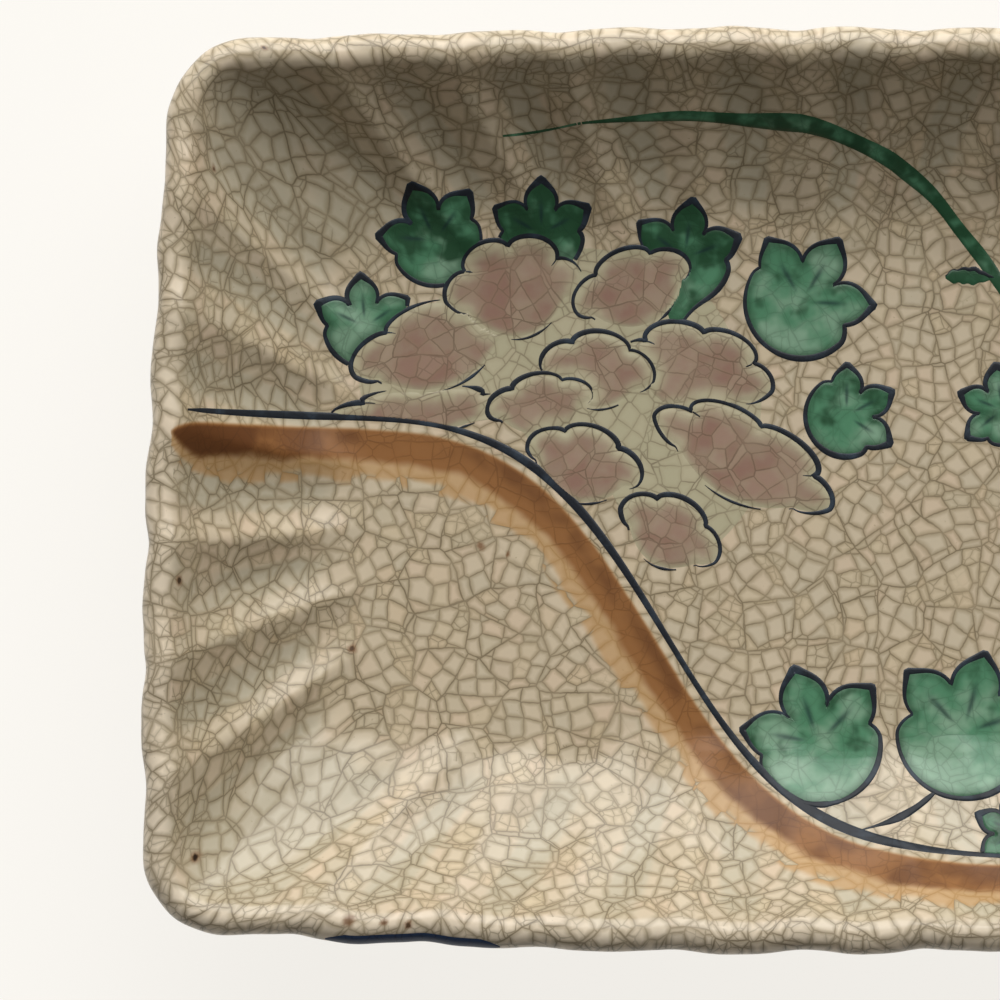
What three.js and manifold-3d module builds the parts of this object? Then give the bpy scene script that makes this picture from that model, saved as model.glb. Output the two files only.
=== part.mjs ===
// A rectangular dish of press-moulded stoneware with a fluted wall, a rolled lip, a low foot ring and
// raised enamel painting. All sizes are in millimetres, +Z is up, +X runs along the dish's length,
// and the origin is on the table under the middle of the dish.
import * as THREE from "three";
import { mergeVertices } from "three/addons/utils/BufferGeometryUtils.js";
import Module from "manifold-3d";

const wasm = await Module();
wasm.setup();

// Overall size, over the lip.
const LENGTH = 220;
const DEPTH = 156;
const HEIGHT = 32;

// Plan shape.
const CORNER_RADIUS = 12.5;
const FLOOR_CORNER_RADIUS = 17;
const FAR_SIDE_BOW = 2.6;
const NEAR_SIDE_BOW = 4.2;
const END_BOW = 2.4;
const END_WIDEST_AT = -0.45;

// Wall section.
const LIP_WIDTH = 6.4;
const LIP_ANGLE = 52;
const FLOOR_INSET = 33;
const FLOOR_ANGLE = 15;
const FLOOR_THICKNESS = 5.5;
const WALL_THICKNESS = 5;

// Flutes pressed into the wall: crests point into the dish, wide troughs lie between them.
const LONG_SIDE_FLUTES = 10;
const SHORT_SIDE_FLUTES = 7;
const FLUTE_DEPTH = 1.9;
const FLUTE_AT_FLOOR = 0.6;
const RIM_WAVE = 1;
const FLUTE_RUNOUT = 5.5;
const LAST_CREST_AT = 0.85;

// Foot ring luted on under the floor.
const FOOT_HEIGHT = 6;
const FOOT_INSET = 37;
const FOOT_WIDTH = 5.5;
const FOOT_CHAMFER = 0.7;
const FOOT_DRAFT = 0.5;
const FOOT_CORNER_RADIUS = 15;

// Enamel pads.
const ENAMEL_GAP = 0.3;
const ENAMEL_THICKNESS = 0.5;
const ENAMEL_CLEARANCE = 0.3;

// The large flower's span over its leaves. The motif tables below are in hundredths of it.
const FLOWER_SPAN = 100;

// The ridge line: nearly level from the left lip, then falling steeply, then level to the near lip.
const RIDGE_LEVEL = 14.5;
const RIDGE_RISE = 0.035;
const RIDGE_RISE_END = -60;
const RIDGE_MIDDLE = -22;
const RIDGE_SPREAD = 11.6;
const RIDGE_LOW_INSET = 16;
const RIDGE_LEFT_INSET = 8;
const RIDGE_RIGHT_END = 56;
const RIDGE_LINE_WIDTH = 1.5;
const BAND_LEFT_INSET = 6.8;
const BAND_OFFSET = 5.1;
const BAND_WIDTH = 6.4;

// Mesh fineness.
const COLUMNS_PER_FLUTE = 4;
const WALL_STATIONS = [0.16, 0.33, 0.5, 0.67, 0.84];
const LIP_STEPS = 6;
const OUTLINE_POINTS = 44;

const GLAZE = 0xc9b99c;
const BISCUIT = 0x9c8365;
const GREEN = 0x2f7a58;
const MAUVE = 0xb69a8a;
const RIDGE_BLUE = 0x2b3038;
const IRON_BROWN = 0x8a5a30;

const FLOOR_TOP = FOOT_HEIGHT + FLOOR_THICKNESS;
const LIP_RADIUS = LIP_WIDTH / 2;
const lipAngle = THREE.MathUtils.degToRad(LIP_ANGLE);
const floorAngle = THREE.MathUtils.degToRad(FLOOR_ANGLE);
const LIP_CENTRE = new THREE.Vector2(
  LIP_RADIUS,
  HEIGHT - LIP_RADIUS - RIM_WAVE * Math.cos(lipAngle),
);
const LIP_NORMAL = new THREE.Vector2(Math.sin(lipAngle), Math.cos(lipAngle));
const WALL_TOP = LIP_CENTRE.clone().addScaledVector(LIP_NORMAL, LIP_RADIUS);
const WALL_FOOT = new THREE.Vector2(FLOOR_INSET, FLOOR_TOP);

// The inner wall in section, x being the inset from the lip's outer edge. It leaves the floor at
// FLOOR_ANGLE and runs into the lip's round at LIP_ANGLE.
function wallCurve() {
  const run = WALL_FOOT.x - WALL_TOP.x;
  const rise = WALL_TOP.y - WALL_FOOT.y;
  const steep = Math.tan(lipAngle);
  const shallow = Math.tan(floorAngle);
  const fromFoot = (steep * run - rise) / (steep - shallow);
  const bend = new THREE.Vector2(WALL_FOOT.x - fromFoot, WALL_FOOT.y + shallow * fromFoot);
  return new THREE.QuadraticBezierCurve(WALL_FOOT, bend, WALL_TOP);
}

const WALL = wallCurve();

// How far a crest stands out of the wall, from the floor line (0) to the lip (1).
function crestHeight(share) {
  const ends = THREE.MathUtils.lerp(FLUTE_AT_FLOOR, RIM_WAVE, share);
  const middle = FLUTE_DEPTH - (FLUTE_AT_FLOOR + RIM_WAVE) / 2;
  return ends + middle * 4 * share * (1 - share);
}

// A station is a point of the section with the way in which a crest moves it.
function station(point, normal, crest) {
  return { inset: point.x, z: point.y, moveIn: normal.x * crest, moveUp: normal.y * crest };
}

function innerStation(share) {
  const along = WALL.getTangent(share);
  const normal = new THREE.Vector2(along.y, -along.x);
  return station(WALL.getPoint(share), normal, crestHeight(share));
}

function outerStation(share) {
  const along = WALL.getTangent(share);
  const normal = new THREE.Vector2(along.y, -along.x);
  const thickness = WALL_THICKNESS + (LIP_WIDTH - WALL_THICKNESS) * share ** 3;
  const point = WALL.getPoint(share).addScaledVector(normal, -thickness);
  return station(point, normal, crestHeight(share));
}

function lipStation(step) {
  const angle = lipAngle - (Math.PI * step) / LIP_STEPS;
  const out = new THREE.Vector2(Math.sin(angle), Math.cos(angle));
  return station(LIP_CENTRE.clone().addScaledVector(out, LIP_RADIUS), LIP_NORMAL, RIM_WAVE);
}

function lipStations() {
  return Array.from({ length: LIP_STEPS }, (_, step) => lipStation(step));
}

function flatStation(inset, z) {
  return { inset, z, moveIn: 0, moveUp: 0 };
}

// Corner radius of the plan outline at an inset: it shrinks across the lip, then opens to the floor.
function cornerRadius(inset) {
  const atLip = CORNER_RADIUS - WALL_TOP.x;
  if (inset <= WALL_TOP.x) {
    return CORNER_RADIUS - inset;
  }
  const share = Math.min(1, (inset - WALL_TOP.x) / (FLOOR_INSET - WALL_TOP.x));
  return THREE.MathUtils.lerp(atLip, FLOOR_CORNER_RADIUS, share);
}

// A point on the quarter of a rounded corner nearest to one side. place runs from -1 at the side's
// first corner to 1 at its last, each taken at the middle of the corner's round.
function alongSide(place, half, radius) {
  const straight = half - radius;
  const distance = place * (straight + (radius * Math.PI) / 4);
  const past = Math.max(0, Math.abs(distance) - straight);
  const turn = past / radius;
  const reach = Math.min(Math.abs(distance), straight) + radius * Math.sin(turn);
  return { along: Math.sign(distance) * reach, back: radius * (1 - Math.cos(turn)) };
}

// A point of the plan outline for a side (0 right, 1 far, 2 left, 3 near) and a place along it.
function outlinePoint(side, place, inset, radius) {
  const long = side % 2 === 1;
  const halfLength = LENGTH / 2 - inset;
  const halfDepth = DEPTH / 2 - inset;
  const { along, back } = alongSide(place, long ? halfLength : halfDepth, radius);
  const out = (long ? halfDepth : halfLength) - back;
  const turned = [
    [out, along],
    [-along, out],
    [-out, -along],
    [along, -out],
  ][side];
  return bowed(turned[0], turned[1]);
}

// The sides bow outwards: the long ones most in the middle, the ends most at END_WIDEST_AT, which is
// a share of the half depth. The outline is drawn in elsewhere.
function bowed(x, y) {
  const across = x / (LENGTH / 2);
  const up = y / (DEPTH / 2) - END_WIDEST_AT;
  const sideBow = y > 0 ? FAR_SIDE_BOW : NEAR_SIDE_BOW;
  return new THREE.Vector2(
    x * (1 - (END_BOW * up * up) / (LENGTH / 2)),
    y * (1 - (sideBow * across * across) / (DEPTH / 2)),
  );
}

// The columns go round the dish anticlockwise. crest is 1 on a flute's crest and 0 in mid trough. The
// corners are plain: past LAST_CREST_AT, a share of the way to the corner, crests fade out.
function columns() {
  const list = [];
  const counts = [SHORT_SIDE_FLUTES, LONG_SIDE_FLUTES, SHORT_SIDE_FLUTES, LONG_SIDE_FLUTES];
  counts.forEach((flutes, side) => {
    const steps = flutes * COLUMNS_PER_FLUTE;
    for (let i = 0; i < steps; i++) {
      const phase = (i % COLUMNS_PER_FLUTE) / COLUMNS_PER_FLUTE;
      const place = (2 * i) / steps - 1;
      const fade = 1 - THREE.MathUtils.smoothstep(Math.abs(place), LAST_CREST_AT, 1);
      list.push({ side, place, crest: fade * (1 - 2 * phase) ** 2 });
    }
  });
  return list;
}

const COLUMNS = columns();

function ringPoints({ inset, z, moveIn, moveUp }, radiusAt = cornerRadius) {
  return COLUMNS.map(({ side, place, crest }) => {
    const p = outlinePoint(side, place, inset + moveIn * crest, radiusAt(inset));
    return new THREE.Vector3(p.x, p.y, z + moveUp * crest);
  });
}

// Triangles between rings of equal length, each ring a closed loop. Rings that go outwards and then
// down and back under, as the body's do, give faces that point out.
function bandFaces(rings, count, closed) {
  const faces = [];
  const bands = closed ? rings : rings - 1;
  for (let r = 0; r < bands; r++) {
    for (let c = 0; c < count; c++) {
      const next = (c + 1) % count;
      const inner = r * count;
      const outer = ((r + 1) % rings) * count;
      faces.push(inner + c, outer + c, outer + next);
      faces.push(inner + c, outer + next, inner + next);
    }
  }
  return faces;
}

// A flat face over one anticlockwise ring, facing up.
function capFaces(points, first) {
  const outline = points.map((p) => new THREE.Vector2(p.x, p.y));
  return THREE.ShapeUtils.triangulateShape(outline, []).flat().map((i) => first + i);
}

function flipped(faces) {
  const turned = [];
  for (let i = 0; i < faces.length; i += 3) {
    turned.push(faces[i], faces[i + 2], faces[i + 1]);
  }
  return turned;
}

function toGeometry(points, faces) {
  const geometry = new THREE.BufferGeometry();
  return geometry.setFromPoints(points).setIndex(faces);
}

function insideStations() {
  return [
    flatStation(FLOOR_INSET + FLUTE_RUNOUT, FLOOR_TOP),
    innerStation(0),
    ...WALL_STATIONS.map(innerStation),
    ...lipStations(),
  ];
}

function outsideStations() {
  return [
    outerStation(1),
    ...WALL_STATIONS.map(outerStation).reverse(),
    outerStation(0),
    flatStation(FLOOR_INSET + FLUTE_RUNOUT / 2, FOOT_HEIGHT),
  ];
}

function dishBody() {
  const stations = [...insideStations(), ...outsideStations()];
  const rings = stations.map((s) => ringPoints(s));
  const count = COLUMNS.length;
  const last = (rings.length - 1) * count;
  const faces = [
    ...bandFaces(rings.length, count, false),
    ...capFaces(rings[0], 0),
    ...flipped(capFaces(rings.at(-1), last)),
  ];
  return toGeometry(rings.flat(), faces);
}

// The foot's section, its rings going out along the bottom, up the outside and back over the top.
function footRing() {
  const inner = FOOT_INSET + FOOT_WIDTH;
  const radiusAt = (inset) => FOOT_CORNER_RADIUS - (inset - FOOT_INSET) / 2;
  const section = [
    [inner, FOOT_HEIGHT],
    [FOOT_INSET, FOOT_HEIGHT],
    [FOOT_INSET + FOOT_DRAFT, FOOT_CHAMFER],
    [FOOT_INSET + FOOT_DRAFT + FOOT_CHAMFER, 0],
    [inner - FOOT_DRAFT - FOOT_CHAMFER, 0],
    [inner - FOOT_DRAFT, FOOT_CHAMFER],
  ];
  const every = 2;
  const rings = section.map(([inset, z]) =>
    ringPoints(flatStation(inset, z), radiusAt).filter((_, i) => i % every === 0),
  );
  return toGeometry(rings.flat(), bandFaces(rings.length, COLUMNS.length / every, true));
}

function toSolid(geometry) {
  const bare = geometry.clone();
  bare.deleteAttribute("normal");
  bare.deleteAttribute("uv");
  const merged = mergeVertices(bare);
  return new wasm.Manifold(
    new wasm.Mesh({
      numProp: 3,
      vertProperties: new Float32Array(merged.attributes.position.array),
      triVerts: new Uint32Array(merged.index.array),
    }),
  );
}

function fromSolid(solid) {
  const mesh = solid.getMesh();
  const geometry = new THREE.BufferGeometry();
  geometry.setAttribute("position", new THREE.BufferAttribute(mesh.vertProperties, 3));
  geometry.setIndex(new THREE.BufferAttribute(mesh.triVerts, 1));
  return geometry;
}

// A sheet of enamel thickness that floats ENAMEL_GAP off the surface through these stations. Its
// edges close on themselves, and with a cap it also covers the floor.
function enamelSheet(stations, capped) {
  const rings = stations.map((s) => ringPoints(s));
  const count = COLUMNS.length;
  const faces = bandFaces(rings.length, count, false);
  const surface = toGeometry(rings.flat(), faces);
  surface.computeVertexNormals();
  const normals = surface.attributes.normal;
  const lifted = (by) =>
    rings.flat().map((p, i) => {
      const normal = new THREE.Vector3().fromBufferAttribute(normals, i);
      const level = capped && i < count;
      return p.clone().addScaledVector(level ? new THREE.Vector3(0, 0, 1) : normal, by);
    });
  const below = lifted(ENAMEL_GAP);
  const above = lifted(ENAMEL_GAP + ENAMEL_THICKNESS);
  const total = below.length;
  const cap = capped ? capFaces(rings[0], 0) : [];
  const upper = [...faces, ...cap].map((i) => i + total);
  const lower = flipped([...faces, ...cap]);
  const edges = edgeFaces(total - count, total, count);
  if (!capped) {
    edges.push(...flipped(edgeFaces(0, total, count)));
  }
  return toSolid(toGeometry([...below, ...above], [...upper, ...lower, ...edges]));
}

// Joins the lower sheet's ring that starts at first to the same ring of the upper sheet.
function edgeFaces(first, total, count) {
  const faces = [];
  for (let c = 0; c < count; c++) {
    const next = (c + 1) % count;
    faces.push(first + c, first + next, first + total + next);
    faces.push(first + c, first + total + next, first + total + c);
  }
  return faces;
}

function prism(outline, bottom = 0, top = HEIGHT * 2) {
  const geometry = new THREE.ExtrudeGeometry(new THREE.Shape(outline), {
    depth: top - bottom,
    bevelEnabled: false,
  });
  return toSolid(geometry.translate(0, 0, bottom));
}

// A closed anticlockwise outline moved outwards by a clearance.
function grown(outline, by) {
  return outline.map((p, i) => {
    const before = outline.at(i - 1);
    const after = outline[(i + 1) % outline.length];
    const along = after.clone().sub(before).normalize();
    return new THREE.Vector2(p.x + by * along.y, p.y - by * along.x);
  });
}

function placed(points, x, y, turn) {
  const centre = new THREE.Vector2(0, 0);
  const angle = THREE.MathUtils.degToRad(turn);
  return points.map((p) => p.rotateAround(centre, angle).add(new THREE.Vector2(x, y)));
}

// Angles in a motif are measured clockwise from its own +Y, in degrees.
function angleBetween(a, b) {
  return Math.abs(THREE.MathUtils.euclideanModulo(a - b + 180, 360) - 180);
}

function polarOutline(radiusAt, count = OUTLINE_POINTS) {
  return Array.from({ length: count }, (_, i) => {
    const angle = 180 - (360 * i) / count;
    const rad = THREE.MathUtils.degToRad(angle);
    const radius = radiusAt(angle);
    return new THREE.Vector2(radius * Math.sin(rad), radius * Math.cos(rad));
  });
}

// A peony leaf: a round blade with round lobes, each drawn out to a small point. Its reaches are
// shares of the leaf's size and its spreads are degrees.
const LOBE_REACH = 0.72;
const LOBE_RADIUS = 0.36;
const TIP_POINT = 0.14;
const TIP_SPREAD = 7;
const BLADE_RADIUS = 0.97;
const LOBED_RADIUS = 0.6;
const STEM_SPREAD = 11;

function leafOutline({ at, size, turn, tips = [-61, 0, 61], tail = 0 }) {
  const radiusAt = (angle) => {
    const gap = Math.min(...tips.map((tip) => angleBetween(angle, tip)));
    const point = TIP_POINT * Math.exp(-gap / TIP_SPREAD);
    const open = THREE.MathUtils.smoothstep(angleBetween(angle, 0), 55, 100);
    const blade = THREE.MathUtils.lerp(LOBED_RADIUS, BLADE_RADIUS, open);
    const stem = tail * Math.exp(-angleBetween(angle, 180) / STEM_SPREAD);
    return size * (Math.max(lobeRadius(gap) + point, blade) + stem);
  };
  return placed(polarOutline(radiusAt), at[0], at[1], turn);
}

// The far side of a round lobe, seen from the leaf's middle at an angle from the lobe's own.
function lobeRadius(gap) {
  const rad = THREE.MathUtils.degToRad(gap);
  const inside = LOBE_RADIUS ** 2 - (LOBE_REACH * Math.sin(rad)) ** 2;
  return inside > 0 ? LOBE_REACH * Math.cos(rad) + Math.sqrt(inside) : 0;
}

// A peony petal: an oval narrowed towards its root, with a scalloped outer edge.
const SCALLOP_DEPTH = 0.2;
const ROOT_PINCH = 0.25;

function petalOutline({ at, wide, deep, turn, lobes, spread }) {
  const radiusAt = (angle) => {
    const phase = ((angle + spread / 2) / spread) * lobes;
    const onEdge = Math.abs(angle) < spread / 2;
    const scallop = onEdge ? Math.sqrt(Math.abs(Math.sin(Math.PI * phase))) : 0;
    return 1 - SCALLOP_DEPTH * (1 - scallop);
  };
  const points = polarOutline(radiusAt).map((p) => {
    const pinch = 1 + ROOT_PINCH * Math.min(0, p.y);
    return new THREE.Vector2((p.x * pinch * wide) / 2, (p.y * deep) / 2);
  });
  return placed(points, at[0], at[1], turn);
}

// An outline round a centre line, with a half width that depends on the share of the way along.
function ribbonOutline(centre, halfWidthAt) {
  const left = [];
  const right = [];
  centre.forEach((p, i) => {
    const before = centre[Math.max(0, i - 1)];
    const after = centre[Math.min(centre.length - 1, i + 1)];
    const along = after.clone().sub(before).normalize();
    const half = halfWidthAt(i / (centre.length - 1));
    left.push(new THREE.Vector2(p.x - half * along.y, p.y + half * along.x));
    right.push(new THREE.Vector2(p.x + half * along.y, p.y - half * along.x));
  });
  return [...right, ...left.reverse()];
}

function ridgeY(x) {
  const low = RIDGE_LOW_INSET - DEPTH / 2;
  const level = RIDGE_LEVEL + RIDGE_RISE * Math.min(0, x - RIDGE_RISE_END);
  return level + (low - level) / (1 + Math.exp(-(x - RIDGE_MIDDLE) / RIDGE_SPREAD));
}

// Points along the ridge, moved square to it by an offset (positive downhill).
function ridgeCentre(leftInset, offset, steps = 40) {
  const left = leftInset - LENGTH / 2;
  return Array.from({ length: steps + 1 }, (_, i) => {
    const share = i / steps;
    const x = THREE.MathUtils.lerp(left, RIDGE_RIGHT_END, share);
    const slope = ridgeY(x + 0.5) - ridgeY(x - 0.5);
    const down = new THREE.Vector2(slope, -1).normalize();
    const fade = 1 - 0.45 * share ** 3;
    return new THREE.Vector2(x, ridgeY(x)).addScaledVector(down, offset * fade);
  });
}

function taperedEnds(half, least = 0.35) {
  return (share) => half * THREE.MathUtils.lerp(least, 1, Math.min(1, 12 * share, 12 * (1 - share)));
}

function bladeOutline({ points, widest }) {
  const curve = new THREE.SplineCurve(points.map(([x, y]) => new THREE.Vector2(x, y)));
  const swell = (share) => (widest / 2) * Math.max(0.2, Math.sin(Math.PI * share ** 1.6));
  return ribbonOutline(curve.getPoints(26), swell);
}

// Each flower is placed from the dish's middle, and its petals and leaves are placed from its heart.
// The petals are listed from the front one to the back one.
const LEFT_FLOWER = {
  at: [-35, 20],
  petals: [
    { name: "petal_low_front", at: [-1, -15.5], wide: 21, deep: 15, turn: -18, lobes: 3, spread: 200 },
    { name: "petal_heart", at: [-8, -5.2], wide: 19, deep: 12, turn: 10, lobes: 3, spread: 200 },
    { name: "petal_crown", at: [1.5, 0.5], wide: 20, deep: 15, turn: -8, lobes: 3, spread: 220 },
    { name: "petal_low_right", at: [26.2, -14.5], wide: 34, deep: 17, turn: -28, lobes: 4, spread: 230 },
    { name: "petal_right", at: [18.2, 0.5], wide: 27, deep: 18, turn: -12, lobes: 4, spread: 230 },
    { name: "petal_back_right", at: [8, 14.5], wide: 22, deep: 15.5, turn: 22, lobes: 3, spread: 200 },
    { name: "petal_back_left", at: [-12.5, 14.5], wide: 24, deep: 20, turn: 8, lobes: 4, spread: 215 },
    { name: "petal_left", at: [-26, 4.5], wide: 30, deep: 17, turn: 18, lobes: 3, spread: 210 },
    { name: "petal_tail", at: [13.5, -27], wide: 19, deep: 14, turn: -30, lobes: 3, spread: 220 },
    { name: "petal_low_left", at: [-28, -6], wide: 32, deep: 9, turn: 4, lobes: 4, spread: 200 },
  ],
  leaves: [
    { name: "leaf_back_left", at: [-26, 23.5], size: 8, turn: 25 },
    { name: "leaf_back_middle", at: [-8, 24.5], size: 7.4, turn: 0 },
    { name: "leaf_back_right", at: [16.5, 20.5], size: 8, turn: -8, tail: 0.7 },
    { name: "leaf_right_large", at: [36.5, 13], size: 10, turn: -39, tips: [-68, -8, 54] },
    { name: "leaf_right_small", at: [44, -6.5], size: 7.2, turn: -62 },
    { name: "leaf_left", at: [-38, 8.7], size: 7.2, turn: 5 },
  ],
};

const RIGHT_FLOWER = {
  at: [58, 6],
  petals: [
    { name: "bloom_front", at: [-1, -7], wide: 20, deep: 14, turn: -6, lobes: 3, spread: 210 },
    { name: "bloom_heart", at: [1, 1], wide: 16, deep: 12, turn: 6, lobes: 3, spread: 210 },
    { name: "bloom_left", at: [-8, 5], wide: 19, deep: 14, turn: 38, lobes: 3, spread: 220 },
    { name: "bloom_right", at: [9, 6], wide: 19, deep: 14, turn: -34, lobes: 3, spread: 220 },
  ],
  leaves: [
    { name: "bloom_leaf_left", at: [-22.5, 8.5], size: 6.2, turn: 68 },
    { name: "bloom_leaf_far", at: [2, 22], size: 7.5, turn: -6 },
    { name: "bloom_leaf_right", at: [22, -6], size: 7.2, turn: -84 },
  ],
};

// These leaves are placed from the middle of the near edge.
const NEAR_LEAVES = [
  { name: "near_leaf_left", at: [4, 35.8], size: 10.8, turn: 14, tips: [-66, -4, 58] },
  { name: "near_leaf_middle", at: [28.5, 37.5], size: 11.5, turn: -8, tips: [-50, 8, 64] },
  { name: "near_leaf_low", at: [36.5, 20.5], size: 5.4, turn: 62 },
  { name: "near_leaf_right", at: [56, 33.5], size: 9, turn: -38 },
];

// These are placed from the middle of the far edge. The small leaf grows from the blade's stem.
const LONG_BLADE = {
  name: "grass_blade",
  points: [
    [-49.5, -17.8],
    [-25, -14.8],
    [-2, -15.6],
    [10, -18.4],
    [22, -25.5],
    [28.5, -33],
    [34, -40],
    [41, -52],
  ],
  widest: 3,
};
const BLADE_LEAF = {
  name: "blade_leaf",
  points: [[35, -41.2], [31.5, -40.8], [28.5, -40.6], [26, -40.9]],
  widest: 3.2,
};

// This blade is placed from the far right corner.
const RIGHT_BLADE = {
  name: "grass_blade_right",
  points: [[-58, -16.5], [-44, -20], [-32, -30], [-24, -46]],
  widest: 2.8,
};

// The blue line on the outside of the near lip. Its ends are measured from the dish's left end, and
// its lower edge lies below the lip's middle by its drop.
const RIM_LINE = { left: 31, right: 60, drop: 0.4, width: 3 };

const MIDDLE = [0, 0];
const NEAR_EDGE = [0, -DEPTH / 2];
const FAR_EDGE = [0, DEPTH / 2];
const FAR_RIGHT_CORNER = [LENGTH / 2, DEPTH / 2];

const dish = new THREE.Group();

function add(name, geometry, color, roughness) {
  const material = new THREE.MeshStandardMaterial({ color, roughness, metalness: 0 });
  const mesh = new THREE.Mesh(geometry, material);
  mesh.name = name;
  dish.add(mesh);
}

function inMillimetres(hundredths) {
  return (hundredths * FLOWER_SPAN) / 100;
}

function moved([x, y], [fromX, fromY]) {
  return [fromX + inMillimetres(x), fromY + inMillimetres(y)];
}

function ridgeMotifs() {
  const line = ribbonOutline(ridgeCentre(RIDGE_LEFT_INSET, 0), taperedEnds(RIDGE_LINE_WIDTH / 2));
  const band = ribbonOutline(ridgeCentre(BAND_LEFT_INSET, BAND_OFFSET), taperedEnds(BAND_WIDTH / 2));
  return [
    { name: "ridge_line", outline: line, color: RIDGE_BLUE },
    { name: "ridge_band", outline: band, color: IRON_BROWN },
  ];
}

function petalMotif(petal, from) {
  const wide = inMillimetres(petal.wide);
  const deep = inMillimetres(petal.deep);
  const outline = petalOutline({ ...petal, wide, deep, at: moved(petal.at, from) });
  return { name: petal.name, outline, color: MAUVE };
}

function leafMotif(leaf, from) {
  const size = inMillimetres(leaf.size);
  const outline = leafOutline({ ...leaf, size, at: moved(leaf.at, from) });
  return { name: leaf.name, outline, color: GREEN };
}

function bladeMotif(blade, from) {
  const widest = inMillimetres(blade.widest);
  const points = blade.points.map((point) => moved(point, from));
  return { name: blade.name, outline: bladeOutline({ points, widest }), color: GREEN };
}

function flowerMotifs({ at, petals, leaves }) {
  const heart = moved(at, MIDDLE);
  return [
    ...petals.map((petal) => petalMotif(petal, heart)),
    ...leaves.map((leaf) => leafMotif(leaf, heart)),
  ];
}

// The painting's motifs, from the front ones to those behind.
function painting() {
  return [
    ...ridgeMotifs(),
    ...flowerMotifs(LEFT_FLOWER),
    ...flowerMotifs(RIGHT_FLOWER),
    ...NEAR_LEAVES.map((leaf) => leafMotif(leaf, NEAR_EDGE)),
    bladeMotif(LONG_BLADE, FAR_EDGE),
    bladeMotif(BLADE_LEAF, FAR_EDGE),
    bladeMotif(RIGHT_BLADE, FAR_RIGHT_CORNER),
  ];
}

// Each pad is cut out of the enamel sheet, less the pads in front of it and a clearance round them.
function addPainting() {
  const sheet = enamelSheet(insideStations(), true);
  const front = [];
  for (const { name, outline, color } of painting()) {
    let pad = prism(outline).intersect(sheet);
    for (const cut of front) {
      pad = pad.subtract(cut);
    }
    add(name, fromSolid(largest(pad)), color, 0.2);
    front.push(prism(grown(outline, ENAMEL_CLEARANCE)));
  }
}

// Where a motif in front cuts a corner off a pad, the corner is left out.
function largest(solid) {
  return solid.decompose().reduce((a, b) => (a.volume() > b.volume() ? a : b));
}

function addRimLine() {
  const stations = [...lipStations(), outerStation(1)];
  const edge = -DEPTH / 2;
  const left = inMillimetres(RIM_LINE.left) - LENGTH / 2;
  const right = inMillimetres(RIM_LINE.right) - LENGTH / 2;
  const corners = [
    [left, edge - LIP_RADIUS],
    [right, edge - LIP_RADIUS],
    [right, edge + LIP_RADIUS],
    [left, edge + LIP_RADIUS],
  ];
  const outline = corners.map(([x, y]) => new THREE.Vector2(x, y));
  const bottom = LIP_CENTRE.y - inMillimetres(RIM_LINE.drop);
  const block = prism(outline, bottom, bottom + inMillimetres(RIM_LINE.width));
  add("rim_line", fromSolid(block.intersect(enamelSheet(stations, false))), RIDGE_BLUE, 0.25);
}

add("dish_body", dishBody(), GLAZE, 0.25);
add("foot_ring", footRing(), BISCUIT, 0.8);
addPainting();
addRimLine();

export default dish;
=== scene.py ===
import math
from collections import namedtuple

import bpy
import numpy as np
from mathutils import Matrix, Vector
from mathutils.bvhtree import BVHTree
from mathutils.geometry import barycentric_transform


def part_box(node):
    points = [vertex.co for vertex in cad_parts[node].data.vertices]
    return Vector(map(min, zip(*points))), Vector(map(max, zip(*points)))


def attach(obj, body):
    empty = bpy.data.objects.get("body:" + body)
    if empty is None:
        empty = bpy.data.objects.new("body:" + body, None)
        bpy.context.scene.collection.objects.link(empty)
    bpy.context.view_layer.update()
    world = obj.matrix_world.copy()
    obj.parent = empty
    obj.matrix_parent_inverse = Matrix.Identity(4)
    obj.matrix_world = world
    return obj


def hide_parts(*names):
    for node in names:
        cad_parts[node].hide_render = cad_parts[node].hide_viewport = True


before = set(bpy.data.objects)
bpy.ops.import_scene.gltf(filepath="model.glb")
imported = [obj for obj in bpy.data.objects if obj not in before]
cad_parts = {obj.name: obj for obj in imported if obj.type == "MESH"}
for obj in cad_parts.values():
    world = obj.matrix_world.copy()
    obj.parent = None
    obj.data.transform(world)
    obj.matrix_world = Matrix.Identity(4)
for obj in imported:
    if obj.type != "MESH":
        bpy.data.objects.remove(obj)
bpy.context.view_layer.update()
MM = 0.001

# The dish: overall size from the frame, the rest as the solids have it.
BODY_LOW, BODY_HIGH = (np.array(corner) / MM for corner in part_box("dish_body"))
LENGTH = BODY_HIGH[0] - BODY_LOW[0]
DEPTH = BODY_HIGH[1] - BODY_LOW[1]
HEIGHT = BODY_HIGH[2]
FOOT_HEIGHT = BODY_LOW[2]
CORNER_RADIUS = 12.5
FLOOR_CORNER_RADIUS = 17.0
FAR_SIDE_BOW = 2.6
NEAR_SIDE_BOW = 4.2
END_BOW = 2.4
END_WIDEST_AT = -0.45
LIP_WIDTH = 6.4
LIP_ANGLE = math.radians(52)
FLOOR_INSET = 33.0
FLOOR_ANGLE = math.radians(15)
FLOOR_THICKNESS = 5.5
WALL_THICKNESS = 5.0
FLUTES = (7, 10, 7, 10)
FLUTE_DEPTH = 1.9
FLUTE_AT_FLOOR = 0.6
RIM_WAVE = 1.0
FLUTE_RUNOUT = 5.5
LAST_CREST_AT = 0.85
CREST_ROUND = 0.07
FOOT_INSET = 37.0
FOOT_WIDTH = 5.5
FOOT_CORNER_RADIUS = 15.0
FOOT_SIDE = ((0.4, 2.6), (0.5, 1.0), (0.75, 0.35), (1.2, 0.0))

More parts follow.
